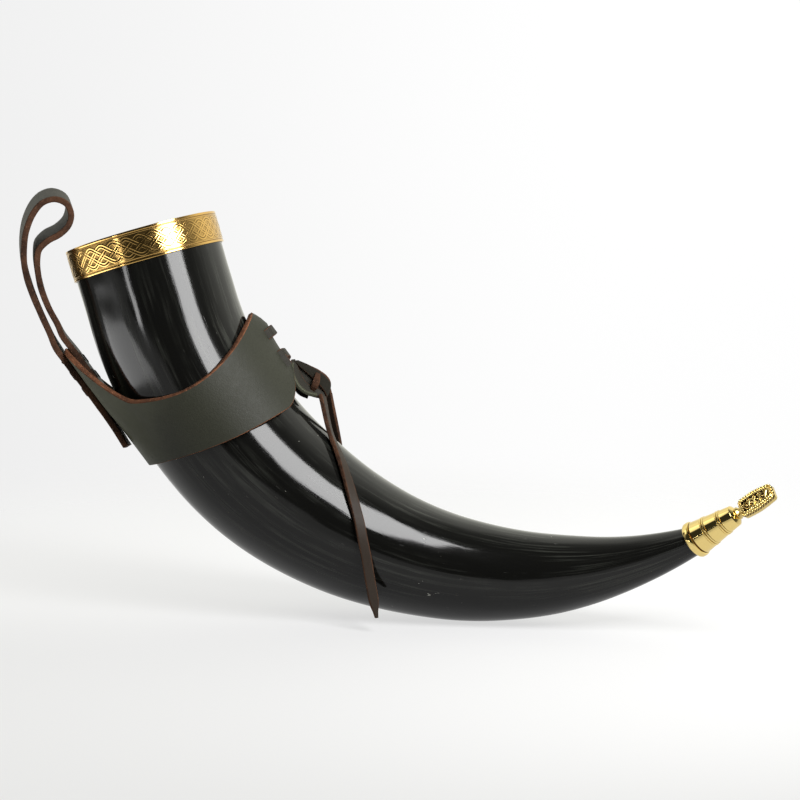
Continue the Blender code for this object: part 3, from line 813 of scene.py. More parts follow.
def polished_horn(settings):
    """Black horn, polished, with faint streaks, fine scratches and a few pale nicks; rough inside."""
    material, finish, shader = new_material("polished_horn")
    laid = finish.attribute("laid", "Vector")
    inside = finish.attribute("inside", "Fac")
    fibres = finish.noise(finish.stretch(laid, (1, 1, 0.05)), 420, 6.0, 0.62)
    clouds = finish.noise(finish.stretch(laid, (1, 1, 0.4)), 46, 3.0)
    streaks = finish.step(fibres, 0.46, 0.74) * finish.step(clouds, 0.36, 0.66)
    colour = finish.mix(streaks, tuple(settings.black), tuple(settings.streak))

    scratch_field = finish.noise(finish.stretch(laid, (0.35, 1.6, 0.10)), 900, 2.0, 0.5, 0.6)
    scratch_places = finish.step(finish.noise(laid, 70, 2.0), 0.52, 0.66)
    scratches = finish.step(scratch_field, 0.70, 0.76) * scratch_places
    colour = finish.mix(scratches * 0.5, colour, (0.14, 0.14, 0.125))

    nick_field = finish.noise(finish.stretch(laid, (1, 1, 0.55)), 360, 2.0, 0.5, 1.2)
    nick_places = finish.step(finish.noise(laid, 31, 2.0), 0.54, 0.60)
    nicks = finish.step(nick_field, 0.735, 0.765) * nick_places
    colour = finish.mix(nicks, colour, (0.34, 0.34, 0.30))
    colour = finish.mix(inside, colour, (0.045, 0.038, 0.030))
    finish.feed(shader.inputs["Base Color"], colour)

    haze = finish.noise(finish.stretch(laid, (1, 1, 0.3)), 120, 5.0, 0.6)
    roughness = 0.050 + haze * 0.10 + scratches * 0.25 + inside * 0.4
    finish.feed(shader.inputs["Roughness"], roughness)
    fine = finish.bump(fibres * 1.2 + scratches * -1.0 + nicks * -1.5, 0.12, 0.0002)
    finish.feed(shader.inputs["Normal"], fine)
    shader.inputs["IOR"].default_value = 1.54
    shader.inputs["Specular IOR Level"].default_value = 0.30
    return material


def brass(name, colour, tarnish, gloss, wear):
    """Polished brass with darkened recesses, marked in the attribute "recess"."""
    material, finish, shader = new_material(name)
    place = finish.place()
    recess = finish.attribute("recess", "Fac")
    mottle = finish.noise(place, 320, 5.0, 0.6)
    handling = finish.noise(place, 60, 3.0)
    dark = finish.step(recess + mottle * 0.35 - 0.18, 0.25, 0.85)
    tone = finish.mix(handling * 0.35, colour, toned(colour, 0.80))
    tone = finish.mix(dark, tone, tarnish)
    finish.feed(shader.inputs["Base Color"], tone)
    hairlines = finish.noise(finish.stretch(place, (1.0, 0.22, 1.4)), 2600, 3.0, 0.6)
    roughness = gloss + mottle * 0.12 * wear + dark * 0.16
    finish.feed(shader.inputs["Roughness"], roughness)
    finish.feed(shader.inputs["Normal"], finish.bump(hairlines + mottle * 2.0, 0.08 * wear, 0.0001))
    shader.inputs["Metallic"].default_value = 1.0
    return material


def leather_face(name, colour, sheen_rough, creased=False, painted_light_from=None):
    """Oiled leather's grain side: pebbled grain, pores and faint clouds.

    Creased leather has fine lines along it, and leather given a place in X is painted paler past it towards
    -X, painted light on that side.
    """
    material, finish, shader = new_material(name)
    place = finish.place()
    clouds = finish.noise(place, 38, 4.0, 0.6)
    mottle = finish.noise(place, 420, 5.0, 0.65)
    pebbles = finish.cells(place, 1250)
    pores = finish.noise(place, 2600, 3.0, 0.6)
    light = toned(colour, 1.35)
    deep = toned(colour, 0.72)
    tone = finish.mix(finish.step(clouds, 0.25, 0.75), toned(colour, 0.88), colour)
    tone = finish.mix(finish.step(mottle, 0.52, 0.80) * 0.5, tone, light)
    tone = finish.mix(finish.step(pebbles, 0.40, 0.85) * 0.5, tone, deep)
    height = pebbles * -0.7 + pores * 0.5 + mottle * 0.5
    # Painted light: past the given place towards -X the colour is made three times paler, as if lit from the
    # left.
    if painted_light_from is not None:
        left = finish.axis(place, "X") * -1
        painted_left_light = finish.step(left + clouds * 0.02, 0.01 - painted_light_from, 0.05 - painted_light_from)
        tone = finish.mix(painted_left_light, tone, toned(colour, 3.0))
    if creased:
        laid = finish.attribute("laid", "Vector")
        creases = finish.noise(finish.stretch(laid, (1.0, 0.0, 0.05)), 700, 3.0, 0.6, 0.3)
        tone = finish.mix(finish.step(creases, 0.48, 0.64) * 0.7, tone, deep)
        height = height + creases * 0.9
    finish.feed(shader.inputs["Base Color"], tone)
    finish.feed(shader.inputs["Roughness"], sheen_rough + mottle * 0.20)
    finish.feed(shader.inputs["Normal"], finish.bump(height, 0.16, 0.0004))
    shader.inputs["Specular IOR Level"].default_value = 0.26
    return material


def leather_cut(name, colour):
    """A raw cut edge: russet fibre, darker towards patches, with a rough nap."""
    material, finish, shader = new_material(name)
    place = finish.place()
    patches = finish.noise(place, 120, 4.0, 0.6)
    fibres = finish.noise(place, 900, 6.0, 0.7, 0.4)
    flecks = finish.noise(place, 1900, 3.0, 0.6)
    deep = toned(colour, 0.30)
    pale = tuple(min(part * 1.9 + 0.02, 1) for part in colour)
    tone = finish.mix(finish.step(patches, 0.30, 0.66), deep, colour)
    tone = finish.mix(finish.step(fibres, 0.52, 0.72) * 0.8, tone, pale)
    tone = finish.mix(finish.step(flecks, 0.60, 0.76) * 0.6, tone, deep)
    finish.feed(shader.inputs["Base Color"], tone)
    finish.feed(shader.inputs["Roughness"], 0.78 + fibres * 0.18)
    finish.feed(shader.inputs["Normal"], finish.bump(fibres + flecks * 0.6, 0.5, 0.0004))
    shader.inputs["Specular IOR Level"].default_value = 0.25
    return material


def waxed_thread(colour):
    """Twisted waxed thread: its plies run round it as they run along."""
    material, finish, shader = new_material("waxed_thread")
    laid = finish.attribute("laid", "Vector")
    plies = finish.node(
        "ShaderNodeTexWave",
        {"wave_type": "BANDS", "bands_direction": "DIAGONAL"},
        {"Vector": laid, "Scale": 520, "Distortion": 0.6, "Detail": 2.0},
        "Fac",
    )
    wax = finish.noise(laid, 700, 3.0)
    deep = toned(colour, 0.45)
    finish.feed(shader.inputs["Base Color"], finish.mix(plies, deep, colour))
    finish.feed(shader.inputs["Roughness"], 0.45 + wax * 0.3)
    finish.feed(shader.inputs["Normal"], finish.bump(plies, 0.6, 0.0003))
    return material


# Pieces


class DRINKINGHORN_OT_stage(bpy.types.Operator):
    """Set up the camera, the softbox, the two small lights, the pale floor and the white surroundings"""

    bl_idname = "drinking_horn.stage"
    bl_label = "Stage"

    def execute(self, context):
        settings = context.scene.horn_stage
        self.add_camera(context, settings)
        self.add_panel(context, "softbox", settings.key, *SOFTBOX)
        self.add_panel(context, "fill_light", settings.fill, *FILL_LIGHT)
        self.add_panel(context, "strip_light", settings.strip, *STRIP_LIGHT)
        self.add_floor()
        self.add_surroundings(context)
        context.scene.view_settings.view_transform = "Standard"
        return {"FINISHED"}

    @staticmethod
    def way(azimuth, elevation):
        """Direction from the object, azimuth to the right of the camera."""
        level = math.cos(elevation)
        turned = CAMERA_AZIMUTH + azimuth
        return Vector((math.sin(turned) * level, -math.cos(turned) * level, math.sin(elevation)))

    def add_camera(self, context, settings):
        data = bpy.data.cameras.new("camera")
        data.angle = settings.field
        camera = bpy.data.objects.new("camera", data)
        context.scene.collection.objects.link(camera)
        way = self.way(0, CAMERA_ELEVATION)
        turned = way.to_track_quat("Z", "Y").to_matrix().to_4x4()
        camera.matrix_world = Matrix.Translation(CAMERA_AIM + way * settings.distance) @ turned
        context.scene.camera = camera

    def add_panel(self, context, name, power, size, place, azimuth, elevation):
        """A light at a place; its back is turned to an azimuth, right of the camera, and an elevation."""
        data = bpy.data.lights.new(name, "AREA")
        data.energy = power
        data.shape = "RECTANGLE"
        data.size, data.size_y = size
        lamp = bpy.data.objects.new(name, data)
        context.scene.collection.objects.link(lamp)
        way = self.way(math.radians(azimuth), math.radians(elevation))
        lamp.matrix_world = Matrix.Translation(place) @ way.to_track_quat("Z", "Y").to_matrix().to_4x4()

    def add_floor(self):
        """A round pale floor that fades into the surroundings."""
        bm = bmesh.new()
        bmesh.ops.create_circle(bm, cap_ends=True, segments=96, radius=FLOOR_RADIUS)
        material, finish, shader = new_material("pale_floor")
        shader.inputs["Base Color"].default_value = (0.25, 0.25, 0.252, 1)
        shader.inputs["Roughness"].default_value = 0.9
        camera_ray = finish.ray("Is Camera Ray")
        place = finish.place()
        right = finish.axis(place, "X")
        back = finish.axis(place, "Y")
        # Painted light: the floor's glow is paler towards the right and the back, and it glows for glossy
        # rays too, a painted reflection of lit floor in the horn and the brass, dimmed at the far left.
        paler_right = finish.step(right, -0.05, 0.25) * 0.08
        paler_back = finish.step(back, -0.10, 0.15) * 0.11
        paleness = FLOOR_PALENESS + paler_right + paler_back
        far_left = finish.step(right * -1, 0.62, 0.72) * finish.step(back, -0.42, -0.25)
        painted_reflection = finish.ray("Is Glossy Ray") * (0.70 - far_left * 0.58)
        glow = finish.node("ShaderNodeEmission", {}, {"Strength": (camera_ray + painted_reflection) * paleness})
        lit = finish.node("ShaderNodeAddShader", {}, {0: Socket(finish, shader.outputs[0]), 1: glow})
        clear = finish.node("ShaderNodeBsdfTransparent")
        out = finish.node("ShaderNodeVectorMath", {"operation": "LENGTH"}, {0: place}, "Value")
        fade = camera_ray * finish.step(out, *FLOOR_FADE)
        faded = finish.node("ShaderNodeMixShader", {}, {0: fade, 1: lit, 2: clear})
        target = finish.tree.nodes["Material Output"]
        finish.feed(target.inputs["Surface"], faded)
        floor = add_piece("floor", bm, [material])

    def add_surroundings(self, context):
        """White behind the object and dim on the camera's side; what the camera sees is near white."""
        world = bpy.data.worlds.new("surroundings")
        context.scene.world = world
        world.use_nodes = True
        finish = Finish(world.node_tree)
        way = finish.node("ShaderNodeTexCoord", {}, {}, "Generated")
        behind = finish.dot(way, -self.way(0, 0))
        aside = finish.dot(way, self.way(math.radians(90.0), 0))
        height = finish.axis(way, "Z")
        above = 1 - finish.step(height, 0.82, 0.97) * 0.75
        studio = 0.03 + finish.step(behind, -0.35, 0.45) * above + finish.step(aside, 0.50, 0.90) * 0.06
        near_patch = finish.dot(way, self.way(PATCH_AZIMUTH, PATCH_ELEVATION))
        studio = studio + finish.step(near_patch, 0.955, 0.985) * 0.9
        seen = finish.step(aside, -0.36, 0.16) * 0.15 + 0.84
        seen = seen + finish.step(height, -0.20, 0.12) * 0.02
        camera_ray = finish.ray("Is Camera Ray")
        passed_on = finish.ray("Is Glossy Ray") + finish.ray("Is Transmission Ray")
        shown = camera_ray + passed_on * finish.step(behind, 0.55, 0.80)
        strength = studio + shown * (seen - studio)
        target = world.node_tree.nodes["Background"]
        finish.feed(target.inputs["Strength"], strength)
        finish.feed(target.inputs["Color"], finish.mix(camera_ray, (1.0, 1.0, 0.90), (1, 1, 1)))


class DRINKINGHORN_OT_lace_tails(bpy.types.Operator):
    """Lay the lace's two free ends over the horn and let them hang"""

    bl_idname = "drinking_horn.lace_tails"
    bl_label = "Lace tails"

    def execute(self, context):
        leather = context.scene.horn_leather
        face = leather_face("tail_leather", tuple(leather.thong), 0.46)
        edge = leather_cut("tail_cut_edge", tuple(leather.chestnut))
        tails = (
            ("lace_tail_front", -1, FRONT_TAIL_OVER, FRONT_TAIL_DROP, FRONT_TAIL_TWIST),
            ("lace_tail_rear", 1, REAR_TAIL_OVER, REAR_TAIL_DROP, REAR_TAIL_TWIST),
        )
        for name, side, over, drop, twist in tails:
            self.add_tail(name, side, over, drop, twist, [face, edge])
        return {"FINISHED"}

    def add_tail(self, name, side, over, drop, twist, materials):
        places = np.array(over)
        marks = np.arange(len(places))
        finer = np.linspace(0, marks[-1], 4 * marks[-1] + 1)
        laid = [over_horn(*(smooth_value(marks, axis, at) for axis in places.T)) for at in finer]
        route = [HOLDER @ knot_exit(side, HOLDER.inverted() @ laid[0][0])]
        route += [point for point, _ in laid]
        route += [laid[-1][0] + drop * share for share in (0.5, 1.0)]
        ways = [laid[0][1]]
        ways += [way for _, way in laid]
        ways += [laid[-1][1]] * 2

        points = smooth_route(route, 0.0028)
        outs = smooth_route_values(route, ways, len(points))
        acrosses = []
        shrink = []
        for i, out in enumerate(outs):
            share = i / (len(points) - 1)
            along = (points[min(i + 1, len(points) - 1)] - points[max(i - 1, 0)]).normalized()
            across = along.cross(out).normalized()
            turned = twist * (TAIL_TWIST_AT_KNOT + 0.3 * math.sin(share * 7.0))
            across.rotate(Matrix.Rotation(turned, 3, along))
            acrosses.append(across)
            shrink.append(1.0 - 0.72 * smooth_step(0.90, 1.0, share) ** 2)
        stations, lengths = strip_stations(points, acrosses, shrink)
        bm = new_bmesh("cut")
        ring = strip_section(bm, LACE_WIDTH * 0.9, LACE_THICKNESS, LACE_CORNER)
        sweep(bm, ring, stations, lengths)
        mark_cut_faces(bm)
        tail = add_piece(name + "_thong", bm, materials)
        settle(tail, "holder", [name])


class DRINKINGHORN_OT_horn(bpy.types.Operator):
    """Extrude the horn ring by ring from the bottom of its hollow, over the rim, to its tip"""

    bl_idname = "drinking_horn.horn"
    bl_label = "Horn"

    sides = 128
    hollow_steps = 60
    outer_steps = 170
    laid_radius = 0.035

    def execute(self, context):
        settings = context.scene.horn_body
        body_end = HOLLOW_DEPTH - HOLLOW_END_LENGTH
        depths = [HOLLOW_DEPTH - HOLLOW_END_LENGTH * share for share in (0, 0.05, 0.2, 0.45, 0.75)]
        depths += [float(value) for value in np.linspace(body_end, 0, self.hollow_steps)]
        outer = [float(value) for value in np.linspace(0, HORN_LENGTH, self.outer_steps)]
        outer.append(HORN_LENGTH + SPIGOT_LENGTH)
        rings = [(depth, hollow_radius(depth), 1.0) for depth in depths]
        rings += [(0.0, horn_radius(0) - WALL_AT_MOUTH * 0.5, 0.6)]
        rings += [(along, horn_radius(along), 0.0) for along in outer]

        stations = []
        for along, radius, _ in rings:
            stations.append(horn_frame(along) @ Matrix.Diagonal((radius, radius, 1, 1)))
        bm = new_bmesh("inside")
        inside = bm.verts.layers.float["inside"]
        ring = round_section(bm, self.sides, 1)
        sweep(bm, ring, stations, [along for along, _, _ in rings])
        laid = bm.verts.layers.float_vector["laid"]
        bm.verts.ensure_lookup_table()
        for i, vert in enumerate(bm.verts):
            along, _, within = rings[i // self.sides]
            vert[inside] = within
            vert[laid] = Vector((vert[laid].x * self.laid_radius, vert[laid].y * self.laid_radius, along))
            if within == 0.0:
                self.polish_wave(vert, vert[laid], along, settings.unevenness)
        horn = add_piece("polished_horn", bm, [polished_horn(settings)], 50.0)
        settle(horn, "horn", ["horn"])
        return {"FINISHED"}

    @staticmethod
    def polish_wave(vert, laid, along, depth):
        """Sinks the surface by gentle waves, none under the band and the ferrule."""
        free = smooth_step(0.014, 0.030, along) * smooth_step(HORN_LENGTH, HORN_LENGTH - 0.03, along)
        long_wave = noise.noise(Vector((laid.x * 50, laid.y * 50, laid.z * 36)))
        short_wave = noise.noise(Vector((laid.x * 110, laid.y * 110, laid.z * 70 + 9.0)))
        sink = depth * free * (0.5 + 0.45 * long_wave + 0.12 * short_wave)
        way = (vert.co - spine(along)).normalized()
        vert.co -= way * sink


class DRINKINGHORN_OT_rim_band(bpy.types.Operator):
    """Turn the rim band and lay its interlace in the sunk field between the borders"""

    bl_idname = "drinking_horn.rim_band"
    bl_label = "Rim band"

    field_depth = 0.00013
    line_depth = 0.00020
    weave = 0.00002
    ribbon_steps = 36
    ribbon = (
        (-1.0, -0.30),
        (-1.0, 0.35),
        (-0.72, 1.0),
        (-0.28, 1.0),
        (-0.12, 0.40),
        (0.12, 0.40),
        (0.28, 1.0),
        (0.72, 1.0),
        (1.0, 0.35),
        (1.0, -0.30),
    )

    def execute(self, context):
        settings = context.scene.horn_brass
        inside = max(horn_radius(0), horn_radius(BAND_HEIGHT)) + GAP
        proud = inside + BAND_WALL + BAND_BEAD
        field = proud - self.field_depth
        shade = toned(settings.bronze, 0.30)
        metal = brass("band_brass", tuple(settings.bronze), shade, 0.07, 0.8)
        self.add_ring(inside, proud, field, metal)
        self.add_interlace(settings, proud, field, metal)
        return {"FINISHED"}

    def add_ring(self, inside, proud, field, metal):
        top = GAP + BAND_WALL
        foot = top - BAND_HEIGHT
        mouth = horn_radius(0) - WALL_AT_MOUTH
        line = proud - self.line_depth
        profile = (
            (proud, top),
            (proud, top - 0.00120),
            (line, top - 0.00130),
            (line, top - 0.00150),
            (proud, top - 0.00160),
            (proud, top - 0.00185),
            (field, top - 0.00200),
            (field, foot + 0.00190),
            (proud, foot + 0.00175),
            (proud, foot + 0.00150),
            (line, foot + 0.00140),
            (line, foot + 0.00120),
            (proud, foot + 0.00110),
            (proud, foot),
            (inside, foot),
            (inside, GAP),
            (mouth, GAP),
            (mouth - 0.0004, GAP),
            (mouth - 0.0004, top),
        )
        bm = new_bmesh("recess")
        recess = bm.verts.layers.float["recess"]
        turn(bm, profile, 256)
        outer = [edge for edge in bm.edges if self.is_outer(edge, proud)]
        round_sharp_edges(bm, outer, 0.00022, 60.0)
        for vert in bm.verts:
            depth = proud - math.hypot(vert.co.x, vert.co.y)
            low = foot + 0.0010 < vert.co.z < top - 0.0011
            vert[recess] = min(max(depth / 0.00026, 0), 1) if low else 0.0
        bmesh.ops.transform(bm, matrix=rim_frame(), verts=bm.verts)
        ring = add_piece("rim_ring", bm, [metal], 35.0)
        settle(ring, "horn", ["rim_band"])

    @staticmethod
    def is_outer(edge, proud):
        """The band's top and bottom corners, outside."""
        return all(abs(math.hypot(vert.co.x, vert.co.y) - proud) < 1e-6 for vert in edge.verts)

    def add_interlace(self, settings, proud, field, metal):
        """Four ribbons that weave over and under; one stretch of ribbon is copied round the band."""
        top = GAP + BAND_WALL - 0.0021
        foot = GAP + BAND_WALL - BAND_HEIGHT + 0.0020
        half = settings.strand / 2
        middle = (top + foot) / 2
        swing = (top - foot) / 2 - half
        pitch = math.tau / settings.arcs
        crown = proud - field - self.weave
        bm = new_bmesh("recess")
        recess = bm.verts.layers.float["recess"]
        ring = [bm.verts.new((x * half, y * crown, 0)) for x, y in self.ribbon]
        for pair in zip(ring, ring[1:] + ring[:1]):
            bm.edges.new(pair)
        for vert, (_, y) in zip(ring, self.ribbon):
            vert[recess] = 1.0 - smooth_step(0.35, 0.95, y)
        stations = []
        for i in range(self.ribbon_steps + 1):
            phase = math.tau * i / self.ribbon_steps
            stations.append(self.on_band(phase, pitch, middle, swing, field))
        sweep_open(bm, ring, stations)
        made = bm.verts[:] + bm.edges[:] + bm.faces[:]
        bmesh.ops.spin(
            bm,
            geom=made,
            cent=(0, 0, 0),
            axis=(0, 0, 1),
            angle=math.tau - pitch,
            steps=settings.arcs - 1,
            use_duplicate=True,
        )
        bmesh.ops.remove_doubles(bm, verts=bm.verts, dist=2e-6)
        bmesh.ops.transform(bm, matrix=rim_frame(), verts=bm.verts)
        lace = add_piece("rim_interlace", bm, [metal], 60.0)
        settle(lace, "horn", ["rim_band"])

    def on_band(self, phase, pitch, middle, swing, field):
        """Where the ribbon lies at a phase of its wave: X across it, Y out of the band, Z along it."""

        def at(value):
            leaned = value - 0.05 * math.sin(2 * value)
            turned = 4 * pitch * leaned / math.tau
            height = middle + swing * (math.cos(value) + 0.06 * math.cos(3 * value)) / 1.06
            over = -math.cos(4 * leaned) * min(max(2.5 * math.sin(value), -1), 1)
            radius = field + self.weave * over
            return Vector((radius * math.cos(turned), radius * math.sin(turned), height)), turned

        point, turned = at(phase)
        along = (at(phase + 0.02)[0] - at(phase - 0.02)[0]).normalized()
        out = Vector((math.cos(turned), math.sin(turned), 0))
        out = (out - along * out.dot(along)).normalized()
        return frame_matrix(out.cross(along), out, along, point)


class DRINKINGHORN_OT_tip_ferrule(bpy.types.Operator):
    """Turn the tip ferrule: base flange, cone with two pairs of beads, chamfered nose"""

    bl_idname = "drinking_horn.tip_ferrule"
    bl_label = "Tip ferrule"

    bead = (
        (1.30, 0.0),
        (1.05, 0.0),
        (0.85, -0.00010),
        (0.60, 0.00016),
        (0.20, 0.00024),
        (-0.20, 0.00024),
        (-0.60, 0.00016),
        (-0.85, -0.00010),
        (-1.05, 0.0),
        (-1.30, 0.0),
    )

    def execute(self, context):
        settings = context.scene.horn_brass
        socket = FINIAL_SPIGOT_RADIUS + GAP
        floor = FERRULE_LENGTH - FINIAL_SPIGOT_LENGTH - GAP
        nose = FERRULE_LENGTH - NOSE_HEIGHT + 0.0002
        profile = [(0, floor), (socket, floor), (socket, FERRULE_LENGTH)]
        profile += [(NOSE_RADIUS - 0.0010, FERRULE_LENGTH), (CONE_END_RADIUS, nose)]
        for pair in reversed(BEAD_PAIR_AT):
            for height in (pair + BEAD_SPACING / 2, pair - BEAD_SPACING / 2):
                for share, rise in self.bead[:-2] if height > pair else self.bead[2:]:
                    at = height + share * BEAD_SPACING * 0.5
                    profile.append((self.cone(at) + rise, at))
        profile += [
            (self.cone(FLANGE_HEIGHT + 0.0004), FLANGE_HEIGHT + 0.0004),
            (CONE_BASE_RADIUS - 0.0003, FLANGE_HEIGHT + 0.0002),
            (CONE_BASE_RADIUS - 0.0003, FLANGE_HEIGHT - 0.0002),
            (FLANGE_RADIUS - 0.0003, FLANGE_HEIGHT - 0.0004),
            (FLANGE_RADIUS, FLANGE_HEIGHT - 0.0010),
            (FLANGE_RADIUS + 0.0001, FLANGE_HEIGHT * 0.45),
            (FLANGE_RADIUS, 0.0008),
            (FLANGE_RADIUS - 0.0004, 0.0002),
            (FLANGE_RADIUS - 0.0009, 0),
            (HORN_RADII[-1] + GAP, 0),
            (SPIGOT_RADIUS + GAP, SPIGOT_LENGTH + GAP),
            (0, SPIGOT_LENGTH + GAP),
        ]
        bm = new_bmesh("recess")
        recess = bm.verts.layers.float["recess"]
        turn(bm, profile, 128)
        corner = [edge for edge in bm.edges if all(vert.co.z > nose - 1e-5 for vert in edge.verts)]
        round_sharp_edges(bm, corner, 0.00009, 20.0)
        for vert in bm.verts:
            radius = math.hypot(vert.co.x, vert.co.y)
            sunk = self.cone(vert.co.z) - radius
            on_cone = FLANGE_HEIGHT - 0.0003 < vert.co.z < nose - 0.0002
            vert[recess] = min(max(sunk / 0.00012, 0), 1) if on_cone else 0.0
        bmesh.ops.transform(bm, matrix=tip_frame(), verts=bm.verts)
        metal = brass("ferrule_brass", tuple(settings.gold), tuple(settings.tarnish), 0.05, 0.3)
        ferrule = add_piece("turned_ferrule", bm, [metal], 22.0)
        settle(ferrule, "horn", ["tip_ferrule"])
        return {"FINISHED"}

    @staticmethod
    def cone(height):
        share = (height - FLANGE_HEIGHT) / (FERRULE_LENGTH - NOSE_HEIGHT - FLANGE_HEIGHT)
        return CONE_BASE_RADIUS + (CONE_END_RADIUS - CONE_BASE_RADIUS) * share


class DRINKINGHORN_OT_finial(bpy.types.Operator):
    """Build the finial: a cushion-shaped tablet on a turned neck, with carved scrolls in a roped border"""

    bl_idname = "drinking_horn.finial"
    bl_label = "Finial"

    foot = FERRULE_LENGTH + GAP
    shoulder = FERRULE_LENGTH + GAP + FINIAL_NECK_LENGTH
    crown = FERRULE_LENGTH + GAP + FINIAL_LENGTH
    rise = FINIAL_THICKNESS / 2

    def execute(self, context):
        settings = context.scene.horn_brass
        # Painted shade: the gold is made darker overall to stand in for the dark reflections in the carving,
        # and the tarnish in the hollows is deepened, partly patina and partly painted shade.
        shaded_gold = toned(settings.gold, 0.80)
        recess_dark = toned(settings.tarnish, 0.55)
        metal = brass("finial_brass", shaded_gold, recess_dark, 0.15, 0.7)
        bm = new_bmesh("recess")
        self.add_tablet(bm)
        self.add_neck(bm)
        self.add_rope(bm)
        self.add_scrolls(bm)
        bmesh.ops.transform(bm, matrix=tip_frame(), verts=bm.verts)
        finial = add_piece("carved_finial", bm, [metal], 42.0)
        settle(finial, "horn", ["finial"])
        return {"FINISHED"}

    def half_width(self, height):
        """Half of the tablet's width at a height."""
        share = (height - self.shoulder) / (self.crown - self.shoulder)
        marks = np.array((0, FINIAL_WIDEST_AT, 1))
        widths = np.array((FINIAL_BASE_WIDTH, FINIAL_WIDTH, FINIAL_END_WIDTH))
        return smooth_value(marks, widths, share) / 2

    def outline(self, inset):
        """The tablet's outline with round corners, drawn in from its edge."""
        low = self.shoulder + inset
        high = self.crown - inset
        corner = max(0.0016 - 0.5 * inset, 0.0003)
        points = [(0.0, low), (0.5 * self.half_width(low), low)]
        for turned in (-80, -60, -40, -20):
            points.append(self.corner_point(low + corner, corner, inset, math.radians(turned)))
        for height in np.linspace(low + corner, high - corner, 16):
            points.append((self.half_width(height) - inset, float(height)))
        for turned in (20, 40, 60, 80):
            points.append(self.corner_point(high - corner, corner, inset, math.radians(turned)))
        points += [(0.4 * self.half_width(high), high), (0.0, high)]
        painted_reflection = [(-out, height) for out, height in reversed(points[1:-1])]
        return [Vector((out, 0, height)) for out, height in points + painted_reflection]

    def corner_point(self, height, corner, inset, turned):
        out = self.half_width(height) - inset - corner
        return out + corner * math.cos(turned), height + corner * math.sin(turned)

    def add_tablet(self, bm):
        """Rings from the back's middle round the edge to the sunk floor of the carved face."""
        recess = bm.verts.layers.float["recess"]
        rings = (
            (0.0032, -self.rise, 0.0),
            (FINIAL_EDGE, -self.rise, 0.0),
            (0.0002, 0.0010 - self.rise, 0.0),
            (0.0, 0.0014 - self.rise, 0.0),
            (0.0, self.rise - 0.0014, 0.0),
            (0.0002, self.rise - 0.0010, 0.0),
            (0.0010, self.rise - 0.0002, 0.0),
            (0.0013, self.rise - 0.0003, 0.5),
            (0.0015, self.rise - 0.0010, 1.0),
            (0.0024, self.rise - 0.0010, 1.0),
            (0.0032, self.rise - 0.0010, 1.0),
        )
        ring = [bm.verts.new(point + Vector((0, rings[0][1], 0))) for point in self.outline(rings[0][0])]
        edges = [bm.edges.new(pair) for pair in zip(ring, ring[1:] + ring[:1])]
        bmesh.ops.contextual_create(bm, geom=edges)
        place_of = {vert: i for i, vert in enumerate(ring)}
        for inset, depth, sunk in rings[1:]:
            outline = self.outline(inset)
            verts = fresh_verts(bmesh.ops.extrude_edge_only(bm, edges=edges))
            found = {}
            for vert in verts:
                for edge in vert.link_edges:
                    other = edge.other_vert(vert)
                    if other in place_of:
                        found[vert] = place_of[other]
            for vert, place in found.items():
                vert.co = outline[place] + Vector((0, depth, 0))
                vert[recess] = sunk
            place_of = found
            edges = edges_among(verts)
        bmesh.ops.contextual_create(bm, geom=edges)

    def add_neck(self, bm):
        """A waisted neck with its spigot, into the tablet's foot."""
        into = self.shoulder + 0.0016
        profile = (
            (0, self.foot - FINIAL_SPIGOT_LENGTH),
            (FINIAL_SPIGOT_RADIUS, self.foot - FINIAL_SPIGOT_LENGTH),
            (FINIAL_SPIGOT_RADIUS, self.foot),
            (FINIAL_NECK_RADIUS + 0.0005, self.foot),
            (FINIAL_NECK_RADIUS + 0.0006, self.foot + 0.0004),
            (FINIAL_NECK_RADIUS - 0.0002, self.foot + 0.0011),
            (FINIAL_NECK_RADIUS - 0.0004, self.foot + 0.0016),
            (FINIAL_NECK_RADIUS, self.shoulder + 0.0002),
            (FINIAL_NECK_RADIUS, into),
            (0, into),
        )
        part = new_bmesh("recess")
        turn(part, profile, 48)
        join(bm, part)

    def add_rope(self, bm):
        """Two rows of slanted beads, like rope: along the face's border and along the tablet's edge."""
        rows = (
            (0.0014, 0.00115, self.rise - 0.00035, (0.00095, 0.00055, 0.00040), 0.00040),
            (0.0003, 0.00150, self.rise - 0.00100, (0.00100, 0.00105, 0.00052), 0.00080),
        )
        out = Vector((0, 1, 0))
        for inset, spacing, level, size, shade in rows:
            border = self.outline(inset)
            route = smooth_route(border + border[:1], spacing)
            for here, ahead in zip(route, route[1:]):
                along = (ahead - here).normalized()
                turned = Matrix.Rotation(math.radians(42.0), 3, out) @ along
                placed = frame_matrix(turned, out, turned.cross(out), here + out * level)
                part = new_bmesh("recess")
                bmesh.ops.create_icosphere(part, subdivisions=2, radius=1)
                bmesh.ops.scale(part, vec=size, verts=part.verts)
                bmesh.ops.transform(part, matrix=placed, verts=part.verts)
                mark_depth(part, level + size[1] * 0.8 - shade, level + size[1] * 0.8)
                join(bm, part)

    def add_scrolls(self, bm):
        """Two ribs that cross up the middle, a boss in each loop and a curl in each gap."""
        low = self.shoulder + 0.0022
        high = self.crown - 0.0020
        level = self.rise - 0.0008
        turns = 4.5
        for side in (-1, 1):
            points = []
            for i in range(97):
                share = i / 96
                angle = math.pi * turns * share
                over = 0.00018 * side * math.cos(angle)
                swing = side * 0.0019 * math.sin(angle)
                points.append(Vector((swing, level + over, low + (high - low) * share)))
            self.add_wire(bm, points, 0.00046, 0.00040)
        for i in range(4):
            self.add_boss(bm, Vector((0, level, low + (high - low) * (i + 0.5) / turns)))
            height = low + (high - low) * (i + 1) / turns
            for side in (-1, 1):
                self.add_curl(bm, Vector((side * 0.0022, level, height)), side)

    def add_boss(self, bm, centre):
        part = new_bmesh("recess")
        bmesh.ops.create_icosphere(part, subdivisions=2, radius=0.00052)
        bmesh.ops.translate(part, vec=centre, verts=part.verts)
        mark_depth(part, self.rise - 0.0008, self.rise - 0.0003)
        join(bm, part)

